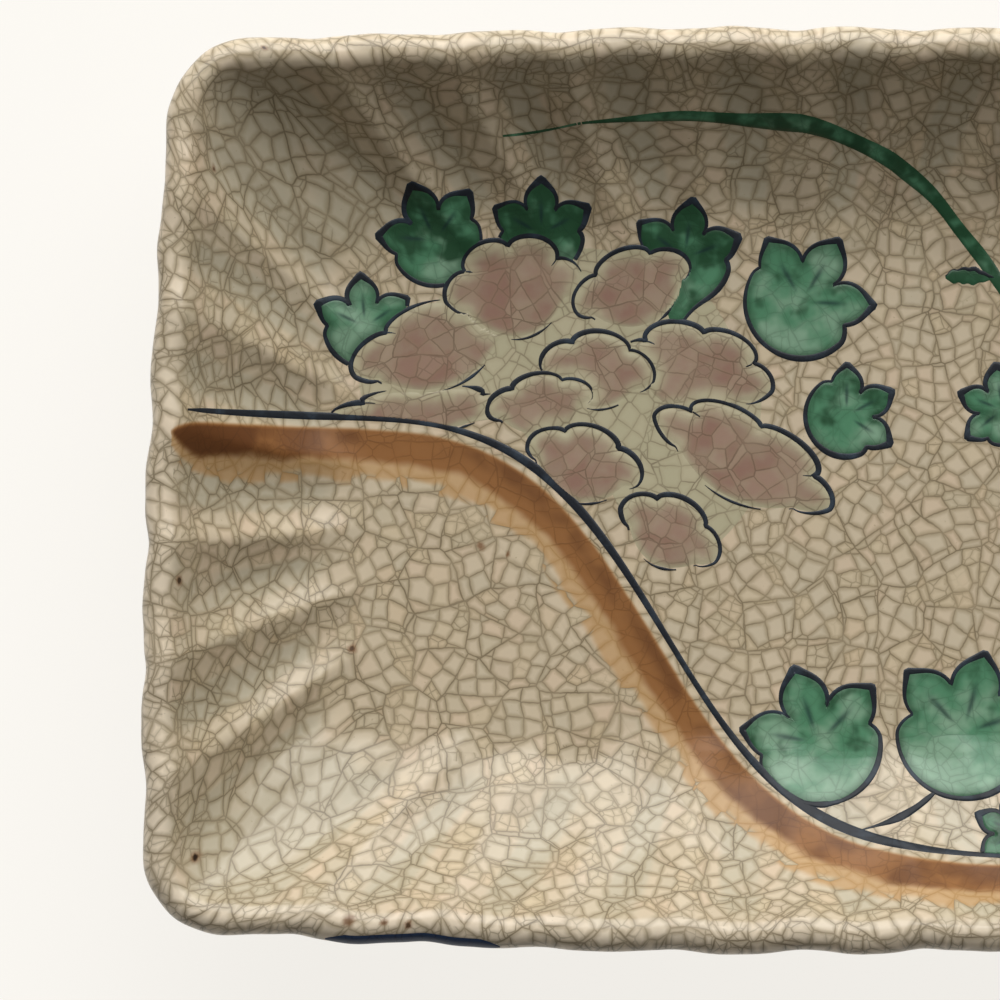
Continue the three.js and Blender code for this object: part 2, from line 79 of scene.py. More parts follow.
FLOOR_TOP = FOOT_HEIGHT + FLOOR_THICKNESS
LIP_RADIUS = LIP_WIDTH / 2
LIP_NORMAL = np.array([math.sin(LIP_ANGLE), math.cos(LIP_ANGLE)])
LIP_CENTRE = np.array([LIP_RADIUS, HEIGHT - LIP_RADIUS - RIM_WAVE * math.cos(LIP_ANGLE)])
WALL_TOP = LIP_CENTRE + LIP_RADIUS * LIP_NORMAL
WALL_FOOT = np.array([FLOOR_INSET, FLOOR_TOP])
MIDDLE_INSET = DEPTH / 2 - 1

# Fineness of the meshes.
COLUMNS_PER_FLUTE = 25
WALL_STEPS = 34
LIP_STEPS = 16
OUTER_STEPS = 22
FLOOR_STEPS = 24
FLOOR_STEPS_CROWD = 0.7

# Where the glaze is stressed and its crackle is finer: the wall's foot, its top and the crests.
FLOOR_STRESS = 0.6
FOOT_STRESS_SHARE = 0.12
TOP_STRESS_SHARE = 0.28
LIP_STRESS_SHARE = 0.25
LIP_MASK_SHARE = 0.3125

# The hand's unevenness.
LUMP_SIZE = 26.0
LUMP_HEIGHT = 0.22
DENT_SIZE = 8.0
DENT_HEIGHT = 0.05
FOOT_ROUND = 3.5
FOOT_LINE_SWAY = 1.6
FOOT_LINE_FADE = 12.0
FLUTE_SWAY = 0.014
EDGE_SWAY = 0.4
EDGE_SWAY_SIZE = 23.0
EDGE_SWAY_FINE_SIZE = 9.2
FOOT_WOBBLE = 0.12
FOOT_WOBBLE_SIZE = 16


def smooth(x):
    x = np.clip(x, 0, 1)
    return x * x * (3 - 2 * x)


def lerp(a, b, share):
    return a + (b - a) * share


def unit(vectors):
    return vectors / np.linalg.norm(vectors, axis=-1, keepdims=True)


def ripple(points, size, seed, waves=9):
    """A smooth random field of about -1 to 1, made of a few sine waves near one wavelength."""
    rng = np.random.default_rng(seed)
    total = np.zeros(len(points))
    for _ in range(waves):
        way = rng.normal(size=points.shape[1])
        way *= rng.uniform(0.7, 1.5) / (np.linalg.norm(way) * size)
        total += np.sin(2 * math.pi * (points @ way + rng.uniform()))
    return total / math.sqrt(waves)


# Section: stations from the middle of the floor, up the wall, over the lip and down the outside.
def wall_point(share):
    """A point of the wall's upper side and its normal, from the foot (share 0) to the top (share 1)."""
    run = WALL_FOOT[0] - WALL_TOP[0]
    rise = WALL_TOP[1] - WALL_FOOT[1]
    steep, shallow = math.tan(LIP_ANGLE), math.tan(FLOOR_ANGLE)
    from_foot = (steep * run - rise) / (steep - shallow)
    bend = WALL_FOOT + np.array([-from_foot, shallow * from_foot])
    point = (1 - share) ** 2 * WALL_FOOT + 2 * share * (1 - share) * bend + share**2 * WALL_TOP
    along = unit((1 - share) * (bend - WALL_FOOT) + share * (WALL_TOP - bend))
    return point, np.array([along[1], -along[0]])


def crest_height(share):
    ends = lerp(FLUTE_AT_FLOOR, RIM_WAVE, share)
    middle = FLUTE_DEPTH - (FLUTE_AT_FLOOR + RIM_WAVE) / 2
    return ends + middle * 4 * share * (1 - share)


# A station is a point of the section (inset, height), its normal, a crest's height there, two paint
# masks, and the way in which a crest pushes the point, where that isn't its normal.
Station = namedtuple("Station", "at normal crest lip stress push", defaults=(0.0, 0.0, None))


def floor_stations():
    for i in range(FLOOR_STEPS):
        inset = lerp(MIDDLE_INSET, FLOOR_INSET, (i / FLOOR_STEPS) ** FLOOR_STEPS_CROWD)
        fade = smooth(1 - (inset - FLOOR_INSET) / FLUTE_RUNOUT)
        yield Station((inset, FLOOR_TOP), (0, 1), FLUTE_AT_FLOOR * fade, stress=FLOOR_STRESS * fade)


def wall_stations():
    for share in np.arange(WALL_STEPS) / WALL_STEPS:
        stress = max(1 - share / FOOT_STRESS_SHARE, smooth(1 - (1 - share) / TOP_STRESS_SHARE))
        yield Station(*wall_point(share), crest_height(share), stress=stress)


def lip_stations():
    for share in np.arange(LIP_STEPS) / LIP_STEPS:
        angle = LIP_ANGLE - math.pi * share
        out = np.array([math.sin(angle), math.cos(angle)])
        lip, stress = smooth(share / LIP_MASK_SHARE), 1 - smooth(share / LIP_STRESS_SHARE)
        yield Station(LIP_CENTRE + LIP_RADIUS * out, out, RIM_WAVE, lip, stress, LIP_NORMAL)


def outer_stations():
    for share in 1 - np.arange(OUTER_STEPS + 1) / OUTER_STEPS:
        point, normal = wall_point(share)
        thickness = WALL_THICKNESS + (LIP_WIDTH - WALL_THICKNESS) * share**3
        yield Station(point - thickness * normal, -normal, crest_height(share), push=normal)


def under_stations():
    foot = FOOT_INSET + 1, FOOT_INSET + FOOT_WIDTH
    for inset in (FLOOR_INSET + FLUTE_RUNOUT / 2, *foot, 50, 62, MIDDLE_INSET):
        yield Station((inset, FOOT_HEIGHT), (0, -1), 0)


# Plan: a rounded rectangle with bowed sides, the same as the solids have.
def corner_radius(inset):
    if inset <= WALL_TOP[0]:
        return CORNER_RADIUS - inset
    share = min(1, (inset - WALL_TOP[0]) / (FLOOR_INSET - WALL_TOP[0]))
    radius = lerp(CORNER_RADIUS - WALL_TOP[0], FLOOR_CORNER_RADIUS, share)
    return min(radius, 0.98 * (DEPTH / 2 - inset))


def bowed(x, y):
    across = x / (LENGTH / 2)
    up = y / (DEPTH / 2) - END_WIDEST_AT
    side_bow = np.where(np.asarray(y) > 0, FAR_SIDE_BOW, NEAR_SIDE_BOW)
    return np.stack([
        x * (1 - END_BOW * up * up / (LENGTH / 2)),
        y * (1 - side_bow * across * across / (DEPTH / 2)),
    ], axis=-1)


def outline(inset, radius, swing=0.0):
    """Plan points of every column at an inset, which may differ from column to column."""
    long = SIDE % 2 == 1
    half_length = LENGTH / 2 - inset
    half_depth = DEPTH / 2 - inset
    straight = np.where(long, half_length, half_depth) - radius
    distance = (PLACE + swing * SWING) * (straight + radius * math.pi / 4)
    turn = np.maximum(0, np.abs(distance) - straight) / radius
    along = np.sign(distance) * (np.minimum(np.abs(distance), straight) + radius * np.sin(turn))
    out = np.where(long, half_depth, half_length) - radius * (1 - np.cos(turn))
    return bowed(np.choose(SIDE, [out, -along, -out, along]), np.choose(SIDE, [along, out, -along, -out]))


def make_columns():
    """The columns' sides, places on them, flute crests and swings, anticlockwise round the dish."""
    side, place, number = [], [], []
    for which, flutes in enumerate(FLUTES):
        steps = np.arange(flutes * COLUMNS_PER_FLUTE)
        side.append(np.full(len(steps), which))
        place.append(2 * steps / len(steps) - 1)
        number.append(sum(FLUTES[:which]) + steps / COLUMNS_PER_FLUTE)
    side, place, number = (np.concatenate(part) for part in (side, place, number))
    phase = np.arange(len(side)) % COLUMNS_PER_FLUTE / COLUMNS_PER_FLUTE
    near = np.hypot(np.minimum(phase, 1 - phase), CREST_ROUND) - CREST_ROUND
    flute = np.round(number)
    strength = np.minimum(1 + 0.16 * np.sin(2.3 * flute) + 0.1 * np.sin(5.1 * flute + 1), 1)
    strength *= 1 - smooth((np.abs(place) - LAST_CREST_AT) / (1 - LAST_CREST_AT))
    return side, place, (1 - 2 * near) ** 2 * strength, np.sin(1.9 * number + 0.7) * (1 - place**2)


SIDE, PLACE, CREST, SWING = make_columns()
COUNT = len(SIDE)
EDGE = outline(0, CORNER_RADIUS)

# How far the hand-pressed edge lies inside its true outline, column by column.
SWAY = 0.5 + 0.35 * ripple(EDGE, EDGE_SWAY_SIZE, 4) + 0.2 * ripple(EDGE, EDGE_SWAY_FINE_SIZE, 5)
SWAY = EDGE_SWAY * np.clip(SWAY, 0, 1.3)


def foot_rounding(past, plan):
    """The height that rounds the wall's foot, along a wandering line, at a distance past the true one."""
    sway = FOOT_LINE_SWAY * smooth(1 - abs(past) / FOOT_LINE_FADE) * ripple(plan, LUMP_SIZE, 6)
    return math.tan(FLOOR_ANGLE) / 2 * (np.hypot(past + sway, FOOT_ROUND) - sway - abs(past))


def surface(stations, fold=None, shift=0.0):
    """Rings of points for the stations, with skin coordinates that keep the crackle's size on the walls.

    The skin lies flat on the floor and is unrolled outwards beyond it. With fold, the length at which
    the skin turns back, it is unrolled inwards again from there, and shift moves that chart away."""
    points, skins, paints = [], [], []
    length, last = 0.0, stations[0].at
    for s in stations:
        at, push, rises = s.at, s.normal if s.push is None else s.push, s.normal[1]
        length += np.linalg.norm(np.subtract(at, last))
        last = at
        crest = s.crest * CREST
        grown = min(1, s.crest / FLUTE_AT_FLOOR)
        down = min(1, max(0, (at[0] - LIP_WIDTH) / (FLOOR_INSET - LIP_WIDTH)))
        inset = at[0] + push[0] * crest + SWAY * smooth(1 - down)
        plan = outline(inset, corner_radius(at[0]), FLUTE_SWAY * math.sin(math.pi * down))
        height = at[1] + push[1] * crest
        if rises > 0 and s.lip == 0:
            height = height + foot_rounding(at[0] - FLOOR_INSET, plan)
        spot = np.column_stack([plan, height])
        if s.crest > 0:
            lump = LUMP_HEIGHT * ripple(spot, LUMP_SIZE, 1) + DENT_HEIGHT * ripple(spot, DENT_SIZE, 2)
            spot[:, 2] += rises * (np.minimum(lump, 0) if s.lip > 0 else lump * grown)
        points.append(spot)
        unrolled = stations[0].at[0] - length if fold is None else FLOOR_INSET - fold + length
        radius = corner_radius(max(unrolled, FLOOR_INSET)) + max(0, FLOOR_INSET - unrolled)
        skins.append(outline(unrolled, radius) + shift)
        wall = smooth((s.crest - FLUTE_AT_FLOOR) / (FLUTE_DEPTH - FLUTE_AT_FLOOR))
        masks = [np.full(COUNT, mask) for mask in (s.lip, s.stress, wall)]
        paints.append(np.column_stack([CREST * grown, *masks]))
    return np.array(points), np.array(skins), np.array(paints)


def grid_faces(rings, count, closed=True, flip=False):
    """Quads between rings of count points each."""
    ring = np.arange(rings - 1)[:, None] * count
    place = np.arange(count if closed else count - 1)
    after = (place + 1) % count
    faces = np.stack([ring + place, ring + count + place, ring + count + after, ring + after], axis=-1)
    return faces.reshape(-1, 4)[:, ::-1 if flip else 1]


def disc_faces(rings, count):
    """The faces of a pad: a fan round its first point, then rings of quads."""
    fan = [(1 + (i + 1) % count, 1 + i, 0) for i in range(count)]
    return fan + (grid_faces(rings, count, flip=True) + 1).tolist()


def add(name, data):
    made = bpy.data.objects.new(name, data)
    bpy.context.scene.collection.objects.link(made)
    return made


def make_mesh(name, points, faces, skin=None, **fields):
    """A mesh object from points in millimetres. skin and fields become attributes of its vertices."""
    mesh = bpy.data.meshes.new(name)
    mesh.from_pydata((points * MM).tolist(), [], [list(map(int, f)) for f in faces])
    if skin is not None:
        flat = np.column_stack([skin * MM, np.zeros(len(skin))])
        mesh.attributes.new("skin", "FLOAT_VECTOR", "POINT").data.foreach_set("vector", flat.ravel())
    for key, values in fields.items():
        values = np.asarray(values, float).ravel()
        mesh.attributes.new(key, "FLOAT", "POINT").data.foreach_set("value", values)
    mesh.validate()
    mesh.shade_smooth()
    return add(name, mesh)


# Materials: node trees are written as arithmetic on the outputs of nodes.
class Value:
    """One output of a node. Adding, subtracting or multiplying makes a math node."""

    def __init__(self, tree, socket):
        self.tree, self.socket = tree, socket

    def __add__(self, other):
        return self.tree.math("ADD", self, other)

    def __sub__(self, other):
        return self.tree.math("SUBTRACT", self, other)

    def __mul__(self, other):
        return self.tree.math("MULTIPLY", self, other)


class Tree:
    def __init__(self, name):
        self.material = bpy.data.materials.new(name)
        self.material.use_nodes = True
        self.nodes = self.material.node_tree.nodes
        self.nodes.clear()
        self.skin = self.mask("skin", "Vector")

    def node(self, kind, inputs=None, output=0, **settings):
        """Makes a node, feeds its inputs and returns one of its outputs."""
        made = self.nodes.new("ShaderNode" + kind)
        for key, value in settings.items():
            setattr(made, key, value)
        for key, value in (inputs or {}).items():
            if isinstance(value, Value):
                self.material.node_tree.links.new(value.socket, made.inputs[key])
            else:
                made.inputs[key].default_value = value
        return Value(self, made.outputs[output]) if made.outputs else None

    def math(self, operation, *values, clamp=False):
        return self.node("Math", dict(enumerate(values)), operation=operation, use_clamp=clamp)

    def most(self, first, *others):
        for other in others:
            first = self.math("MAXIMUM", first, other)
        return first

    def vector(self, operation, *values, output="Vector"):
        return self.node("VectorMath", dict(enumerate(values)), output, operation=operation)

    def scaled(self, vector, by):
        return self.node("VectorMath", {0: vector, "Scale": by}, "Vector", operation="SCALE")

    def layers(self, colour, *coats):
        """Coats of colour over a first one, each given as the share that it covers and its colour."""
        for share, coat in coats:
            colour = self.node("Mix", {0: share, 6: colour, 7: coat}, 2, data_type="RGBA")
        return colour

    def ramp(self, value, low, high, start=0.0, end=1.0):
        limits = {0: value, 1: low, 2: high, 3: start, 4: end}
        return self.node("MapRange", limits, interpolation_type="SMOOTHSTEP")

    def mask(self, name, output="Fac"):
        return self.node("Attribute", None, output, attribute_name=name)

    def channel(self, colour, which):
        return self.node("SeparateColor", {0: colour}, which)

    def noise(self, size, detail, output="Fac"):
        """Noise over the skin, whose features are about size millimetres across."""
        inputs = {"Vector": self.skin, "Scale": 1 / (size * MM), "Detail": detail}
        return self.node("TexNoise", inputs, output)

    def strayed(self, vector, size, detail, reach):
        """A place moved about at random, by up to half of reach millimetres, in waves of about size."""
        stray = self.vector("SUBTRACT", self.noise(size, detail, "Color"), (0.5, 0.5, 0.5))
        return self.vector("ADD", vector, self.scaled(stray, reach * MM))

    def cells(self, vector, size, uneven, feature, output):
        inputs = {"Vector": vector, "Scale": 1 / (size * MM), "Randomness": uneven}
        return self.node("TexVoronoi", inputs, output, voronoi_dimensions="2D", feature=feature)

    def bump(self, height, strength):
        return self.node("Bump", {"Height": height, "Strength": strength, "Distance": MM})

    def finish(self, shader):
        self.node("OutputMaterial", {"Surface": shader})
        return self.material


def srgb(*parts):
    """A colour given as 0 to 255 display values, as the linear colour that a shader takes."""
    parts = [v / 255 for v in parts]
    return [v / 12.92 if v <= 0.04045 else ((v + 0.055) / 1.055) ** 2.4 for v in parts] + [1.0]


# Crackle: each level's cells are cut up by the next, turned and shifted at random cell by cell, so
# that finer cracks end on coarser ones. A level has a cell size, its unevenness, and its cracks' width
# and strength. The middle level's cells are the tiles.
CRACK_LEVELS = (
    (8.2, 0.8, 1.1, 1.0),
    (3.2, 0.44, 1.0, 0.85),
    (2.0, 0.6, 0.9, 0.7),
)
CRACK_WIDTH = 0.11
CRACK_SPREAD = 1.7
# How many crack widths the halo spreads: a stained halo that is also painted shade, darkening each tile
# towards its edges.
STAIN_AND_SHADE_SPREAD = 8.5
CREST_CRACKS = 0.7
LIP_CRACKS = 0.8
FULL_TURN = 6.3


class Glaze(Tree):
    """A tree that starts with the crackle: its cracks, the stained halo round them, which is also painted
    shade that darkens each tile towards its edges so that it looks domed, and a random colour per tile.
    """

    def __init__(self, name):
        super().__init__(name)
        vector = self.strayed(self.strayed(self.skin, 14, 1, 4.5), 1.8, 2, 0.5)
        levels = []
        for size, uneven, width, strength in CRACK_LEVELS:
            gap = self.cells(vector, size, uneven, "DISTANCE_TO_EDGE", "Distance") * size
            colour = self.cells(vector, size, uneven, "F1", "Color")
            levels.append((gap, width * CRACK_WIDTH, strength, colour))
            inputs = {"Vector": vector, "Angle": self.channel(colour, 0) * FULL_TURN}
            turned = self.node("VectorRotate", inputs, rotation_type="Z_AXIS")
            vector = self.vector("ADD", turned, self.scaled(colour, 3.0))
        self.tile = levels[1][3]
        crest, lip = self.mask("crest") * CREST_CRACKS, self.mask("lip") * LIP_CRACKS
        stress = self.most(self.mask("stress"), crest, lip)
        cut_up = self.ramp(self.channel(self.tile, 1) + stress * 0.66, 0.85, 0.89)
        crack, self.stain_and_shade = 0.0, 0.0
        for number, (gap, width, strength, _) in enumerate(levels):
            line = self.ramp(gap, width * CRACK_SPREAD, width * 0.2) * strength
            # The soft halo round each crack: partly a brown stained halo, partly painted shade that makes
            # each tile look domed.
            soft = self.ramp(gap, width * STAIN_AND_SHADE_SPREAD, 0.0)
            if number == 2:
                line, soft = line * cut_up, soft * (cut_up * 0.5)
            crack = self.most(crack, line)
            self.stain_and_shade = self.most(self.stain_and_shade, soft)
        self.crack = crack * self.ramp(self.noise(7, 3), 0.3, 0.66, 0.45, 1.0)


TILE = srgb(206, 190, 163)
TILE_PINK = srgb(213, 188, 160)
TILE_YELLOW = srgb(206, 187, 152)
TILE_GREY = srgb(185, 177, 154)
# Painted light: a paler colour laid on the lip.
LIP_PAINTED_LIGHT = srgb(238, 222, 197)
CRACK = srgb(98, 85, 60)
# The colour of the speckles and of the halo round the cracks, which is partly painted shade.
STAIN_AND_SHADE = srgb(146, 129, 97)
RUST = srgb(122, 78, 40)
PIT = srgb(46, 32, 20)
INK = srgb(34, 38, 44)
INK_THIN = srgb(60, 72, 84)
INK_BLUE = srgb(48, 66, 98)
INK_CRACK = srgb(20, 18, 16)
GREEN = srgb(82, 134, 101)
GREEN_DEEP = srgb(37, 74, 48)
GREEN_PALE = srgb(130, 164, 137)
GREEN_CRACK = srgb(34, 58, 40)
VEIN = srgb(26, 46, 50)
PETAL_EDGE = srgb(180, 173, 143)
PETAL = srgb(152, 130, 111)
PETAL_HEART = srgb(141, 105, 92)
PETAL_CRACK = srgb(88, 72, 56)
BROWN_DARK = srgb(92, 54, 27)
BROWN = srgb(140, 92, 48)
BROWN_CRACK = srgb(70, 44, 24)
AMBER = srgb(186, 141, 83)
CLAY = srgb(168, 138, 104)
CLAY_SCORCHED = srgb(142, 108, 78)
CLAY_IRON = srgb(96, 70, 48)

# Iron spots and pits: plan place, radius of the rust round it, and how dark its middle is.
IRON_SPOTS = [
    ((-100.6, -61.5), 1.5, 1.0), ((-75.0, -26.2), 1.3, 0.7), ((-53.2, -8.8), 1.1, 0.1),
    ((-48.6, -10.2), 0.7, 0.1), ((-103.4, -15.6), 1.2, 0.9), ((-89.5, 73.6), 0.8, 0.8),
    ((-75.0, -72.0), 1.6, 0.2), ((-69.2, -72.4), 0.9, 0.3), ((-65.2, -72.8), 1.1, 0.7),
    ((-98.0, 54.0), 0.8, 0.6), ((71.0, -38.0), 1.2, 0.5), ((92.0, 44.0), 0.9, 0.8),
]


def spots(t):
    """Masks of the rust stains and of the dark pits in them."""
    place = t.strayed(t.skin, 1.5, 2, 1.2)
    rust, pit = 0.0, 0.0
    for (_, radius, dark), centre in zip(IRON_SPOTS, SPOT_SKINS):
        gap = t.vector("DISTANCE", place, (centre[0] * MM, centre[1] * MM, 0), output="Value")
        rust = t.most(rust, t.ramp(gap, radius * MM, 0.2 * radius * MM, 0, 0.75))
        pit = t.most(pit, t.ramp(gap, 0.5 * radius * MM, 0.2 * radius * MM, 0, dark))
    return rust, pit


def glaze_colour(t):
    """The cream-grey glaze with its tile tints, cloudy patches and stained cracks, with painted shade in the
    flutes' troughs and round the cracks, and a painted highlight on the lip.
    """
    # Painted shade: the glaze is greyer in the flutes' troughs on the wall, added to its cloudy patches.
    trough_shade = t.ramp(t.mask("crest"), 0.35, 0.0)
    cloud_and_trough_shade = t.noise(30, 3) + trough_shade * t.mask("wall")
    towards_far = t.node("SeparateXYZ", {0: t.skin}, "Y")
    rust, pit = spots(t)
    return t.layers(
        TILE,
        (t.ramp(t.channel(t.tile, 0), 0.5, 1.0, 0, 0.5), TILE_PINK),
        (t.ramp(t.channel(t.tile, 1), 0.5, 1.0, 0, 0.5), TILE_YELLOW),
        (t.ramp(t.channel(t.tile, 2), 0.4, 1.0, 0, 0.35), TILE_GREY),
        (t.ramp(cloud_and_trough_shade, 0.45, 1.1, 0, 0.75), TILE_GREY),
        (t.ramp(t.noise(12, 3), 0.55, 0.75, 0, 0.4), TILE_PINK),
        # Painted light on the lip: a paler colour, stronger towards the near side, standing in for light
        # falling on it.
        (t.mask("lip") * t.ramp(towards_far, 0.08, -0.06, 0.35, 0.85), LIP_PAINTED_LIGHT),
        (t.ramp(t.noise(0.7, 1), 0.72, 0.78, 0, 0.35), STAIN_AND_SHADE),
        # Stained halo round the cracks, partly painted shade that domes each tile.
        (t.stain_and_shade * 0.58, STAIN_AND_SHADE),
        (t.crack * 0.7, CRACK),
        (rust, RUST),
        (pit, PIT),
    )


def ink_colour(t):
    """Blue-black brush line, thinner and bluer where the brush ran dry."""
    thin = t.ramp(t.noise(4.5, 3), 0.45, 0.72) * 0.6
    edge = t.ramp(t.mask("across"), 0.6, 1.0, 0, 0.75)
    return t.layers(
        INK,
        (t.most(thin, edge), INK_THIN),
        (t.mask("blue"), INK_BLUE),
        (t.crack * 0.35, INK_CRACK),
    )


def green_colour(t):
    """Translucent green enamel: deeper where it pools at the edge and along the veins, and paler towards a
    leaf's near side as painted light.
    """
    # shade: each leaf's own tone, with painted light making it paler towards its near side.
    shade = t.mask("shade") - 0.5
    return t.layers(
        GREEN,
        (t.ramp(t.noise(7, 3) - shade * 0.6, 0.4, 0.68), GREEN_PALE),
        (t.ramp(t.noise(4, 2) + shade * 0.8, 0.5, 0.78, 0, 0.95), GREEN_DEEP),
        (t.ramp(t.mask("depth"), 2.0, 0.4, 0, 0.6), GREEN_DEEP),
        (t.mask("vein") * 0.75, VEIN),
        # Stained halo round the cracks, partly painted shade.
        (t.stain_and_shade * 0.12, GREEN_DEEP),
        (t.crack * 0.26, GREEN_CRACK),
    )


def petal_colour(t):
    """Thin mauve enamel in the petal's middle, fading to a pale green edge, over the same crackle."""
    depth = t.mask("depth") + t.noise(5, 3) * 2.4
    heart = t.ramp(depth, 3.0, 5.6) * t.ramp(t.noise(6, 3), 0.35, 0.62)
    return t.layers(
        PETAL_EDGE,
        (t.ramp(depth, 1.5, 4.2), PETAL),
        (heart * 0.75, PETAL_HEART),
        (t.ramp(t.channel(t.tile, 0), 0.4, 1.0, 0, 0.18), TILE),
        # Stained halo round the cracks, partly painted shade.
        (t.stain_and_shade * 0.2, STAIN_AND_SHADE),
        (t.crack * 0.6, PETAL_CRACK),
    )


def band_colour(t):
    """Iron brown, dark and crisp along its upper edge and bleeding out amber below, with painted shade
    darkening it on the wall against the lamp's sheen there.
    """
    wander = (t.noise(9, 3) - 0.5) * 3.0
    below = t.mask("below") + wander
    crisp = t.mask("above") + wander * 0.15
    by_tile = below + (t.channel(t.tile, 1) - 0.5) * 2.4
    amber = t.ramp(crisp, -0.4, 0.4) * t.ramp(by_tile, 9.3, 7.9)
    brown = t.ramp(crisp, -0.2, 0.5) * t.ramp(below, 6.4, 4.6)
    streak = t.ramp(t.noise(14, 3), 0.58, 0.42, 0, 0.7) * t.ramp(below, 4.2, 1.6)
    # Painted shade: the brown is darkened in streaks on the wall, where the lamp's sheen falls, and joined
    # with the darker press of the brush at its left end.
    painted_shade_on_wall = t.ramp(t.noise(10, 3), 0.36, 0.6) * t.ramp(t.mask("wall"), 0.1, 0.6, 0, 0.75)
    press_and_painted_shade = t.most(t.mask("press"), painted_shade_on_wall)
    dark = t.ramp(crisp, 0.1, 0.9) * t.most(streak, press_and_painted_shade)
    return t.layers(
        glaze_colour(t),
        (amber * 0.66, AMBER),
        (brown * 0.93, BROWN),
        (dark * brown * 0.9, BROWN_DARK),
        (t.crack * brown * 0.35, BROWN_CRACK),
    )


# A glazed material's colour, the strength of its bump, its roughness, its clear coat and its shine.
GLAZES = {
    "crackle_glaze": (glaze_colour, 0.5, 0.3, 0.1, 0.5),
    "green_enamel": (green_colour, 0.4, 0.3, 0.08, 0.42),
    "petal_enamel": (petal_colour, 0.4, 0.32, 0.06, 0.4),
    "ridge_blue": (ink_colour, 0.35, 0.4, 0.04, 0.25),
    "iron_brown": (band_colour, 0.45, 0.4, 0.02, 0.35),
}


def glazed_material(name, colour, strength, roughness, coat, shine):
    t = Glaze(name)
    height = t.noise(5.0, 2) * 0.09 + t.noise(1.3, 2) * 0.014 + t.crack * -0.02
    return t.finish(t.node("BsdfPrincipled", {
        "Base Color": colour(t), "Roughness": roughness, "Normal": t.bump(height, strength), "IOR": 1.43,
        "Coat Weight": coat, "Coat Roughness": 0.06, "Specular IOR Level": shine}))


def clay_material():
    """Unglazed stoneware: buff, speckled with iron and a little scorched."""
    t = Tree("bare_clay")
    t.skin = t.node("TexCoord", None, "Object")
    colour = t.layers(
        CLAY,
        (t.ramp(t.noise(9, 4), 0.35, 0.7), CLAY_SCORCHED),
        (t.ramp(t.noise(0.8, 3), 0.6, 0.75, 0, 0.6), CLAY_IRON),
    )
    bump = t.bump(t.noise(0.9, 4) * 0.3, 0.7)
    inputs = {"Base Color": colour, "Roughness": 0.85, "Normal": bump}
    return t.finish(t.node("BsdfPrincipled", inputs))


# The dish's inside and lip on one chart of the skin, the outside on another.
OUTSIDE_FOLD = 30.0
CHART_SHIFT = 400.0


def body_grids():
    outside = [*outer_stations(), *under_stations()]
    length = sum(np.linalg.norm(np.subtract(b.at, a.at)) for a, b in zip(outside, outside[1:]))
    inner = surface([*floor_stations(), *wall_stations(), *lip_stations()])
    return inner, surface(outside, fold=length - OUTSIDE_FOLD, shift=CHART_SHIFT)


INSIDE, OUTSIDE = body_grids()
DOWN = Vector((0, 0, -1))
UNITS = (Vector((1, 0, 0)), Vector((0, 1, 0)), Vector((0, 0, 1)))


# Draping: paint is laid on the inside by dropping its plan points onto the body's own facets.
class Drape:
    def __init__(self):
        points, skins, paints = INSIDE
        rings, count = points.shape[:2]
        quads = grid_faces(rings, count)
        fan = np.array([(0, i, i + 1) for i in range(1, count - 1)])
        self.triangles = np.concatenate([quads[:, [0, 1, 2]], quads[:, [0, 2, 3]], fan])
        self.points = points.reshape(-1, 3)
        self.extra = np.column_stack([skins.reshape(-1, 2), paints.reshape(-1, paints.shape[-1])])
        self.tree = BVHTree.FromPolygons(self.points.tolist(), self.triangles.tolist())
        a, b, c = (self.points[self.triangles[:, corner]] for corner in range(3))
        normals = np.zeros_like(self.points)
        for corner in range(3):
            np.add.at(normals, self.triangles[:, corner], np.cross(b - a, c - a))
        self.normals = unit(normals)

    def drop(self, plan):
        """Points, normals, and skin and paint masks, under the plan points."""
        found, corners, weights = [], [], []
        for x, y in plan:
            hit, _, index, _ = self.tree.ray_cast(Vector((x, y, 3 * HEIGHT)), DOWN)
            if hit is None:
                raise ValueError(f"paint falls off the dish at {x:.1f}, {y:.1f}")
            found.append(tuple(hit))
            corners.append(self.triangles[index])
            weights.append(barycentric_transform(hit, *map(Vector, self.points[corners[-1]]), *UNITS))
        corners, weights = np.array(corners), np.array(weights)[:, :, None]
        normals = (self.normals[corners] * weights).sum(1)
        return np.array(found), normals, (self.extra[corners] * weights).sum(1)


DRAPE = Drape()
SPOT_SKINS = DRAPE.drop([place for place, _, _ in IRON_SPOTS])[2][:, :2]
MATERIALS = {name: glazed_material(name, *look) for name, look in GLAZES.items()}
MATERIALS["bare_clay"] = clay_material()


def dress(piece, slot, *nodes):
    """Gives a piece its material and body, and hides the solids that it stands for."""
    if not piece.data.materials:
        piece.data.materials.append(MATERIALS[slot])
    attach(piece, "root")
    if nodes:
        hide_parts(*nodes)


def paint_fields(paint):
    return dict(zip(("crest", "lip", "stress", "wall"), paint.T))


def build_body():
    points, skin, paint = (np.concatenate([part.reshape(-1, part.shape[-1]) for part in both])
                           for both in zip(INSIDE, OUTSIDE))
    caps = [range(COUNT), range(len(points) - 1, len(points) - COUNT - 1, -1)]
    faces = grid_faces(len(points) // COUNT, COUNT).tolist() + caps
    dress(make_mesh("glazed_body", points, faces, skin, **paint_fields(paint)), "crackle_glaze", "dish_body")


def draped(name, plan, lift, faces, **fields):
    """A piece of paint: plan points laid on the dish and lifted off it by lift millimetres."""
    spots, normals, extra = DRAPE.drop(plan)
    points = spots + normals * np.asarray(lift)[:, None]
    return make_mesh(name, points, faces, extra[:, :2], **paint_fields(extra[:, 2:]), **fields)


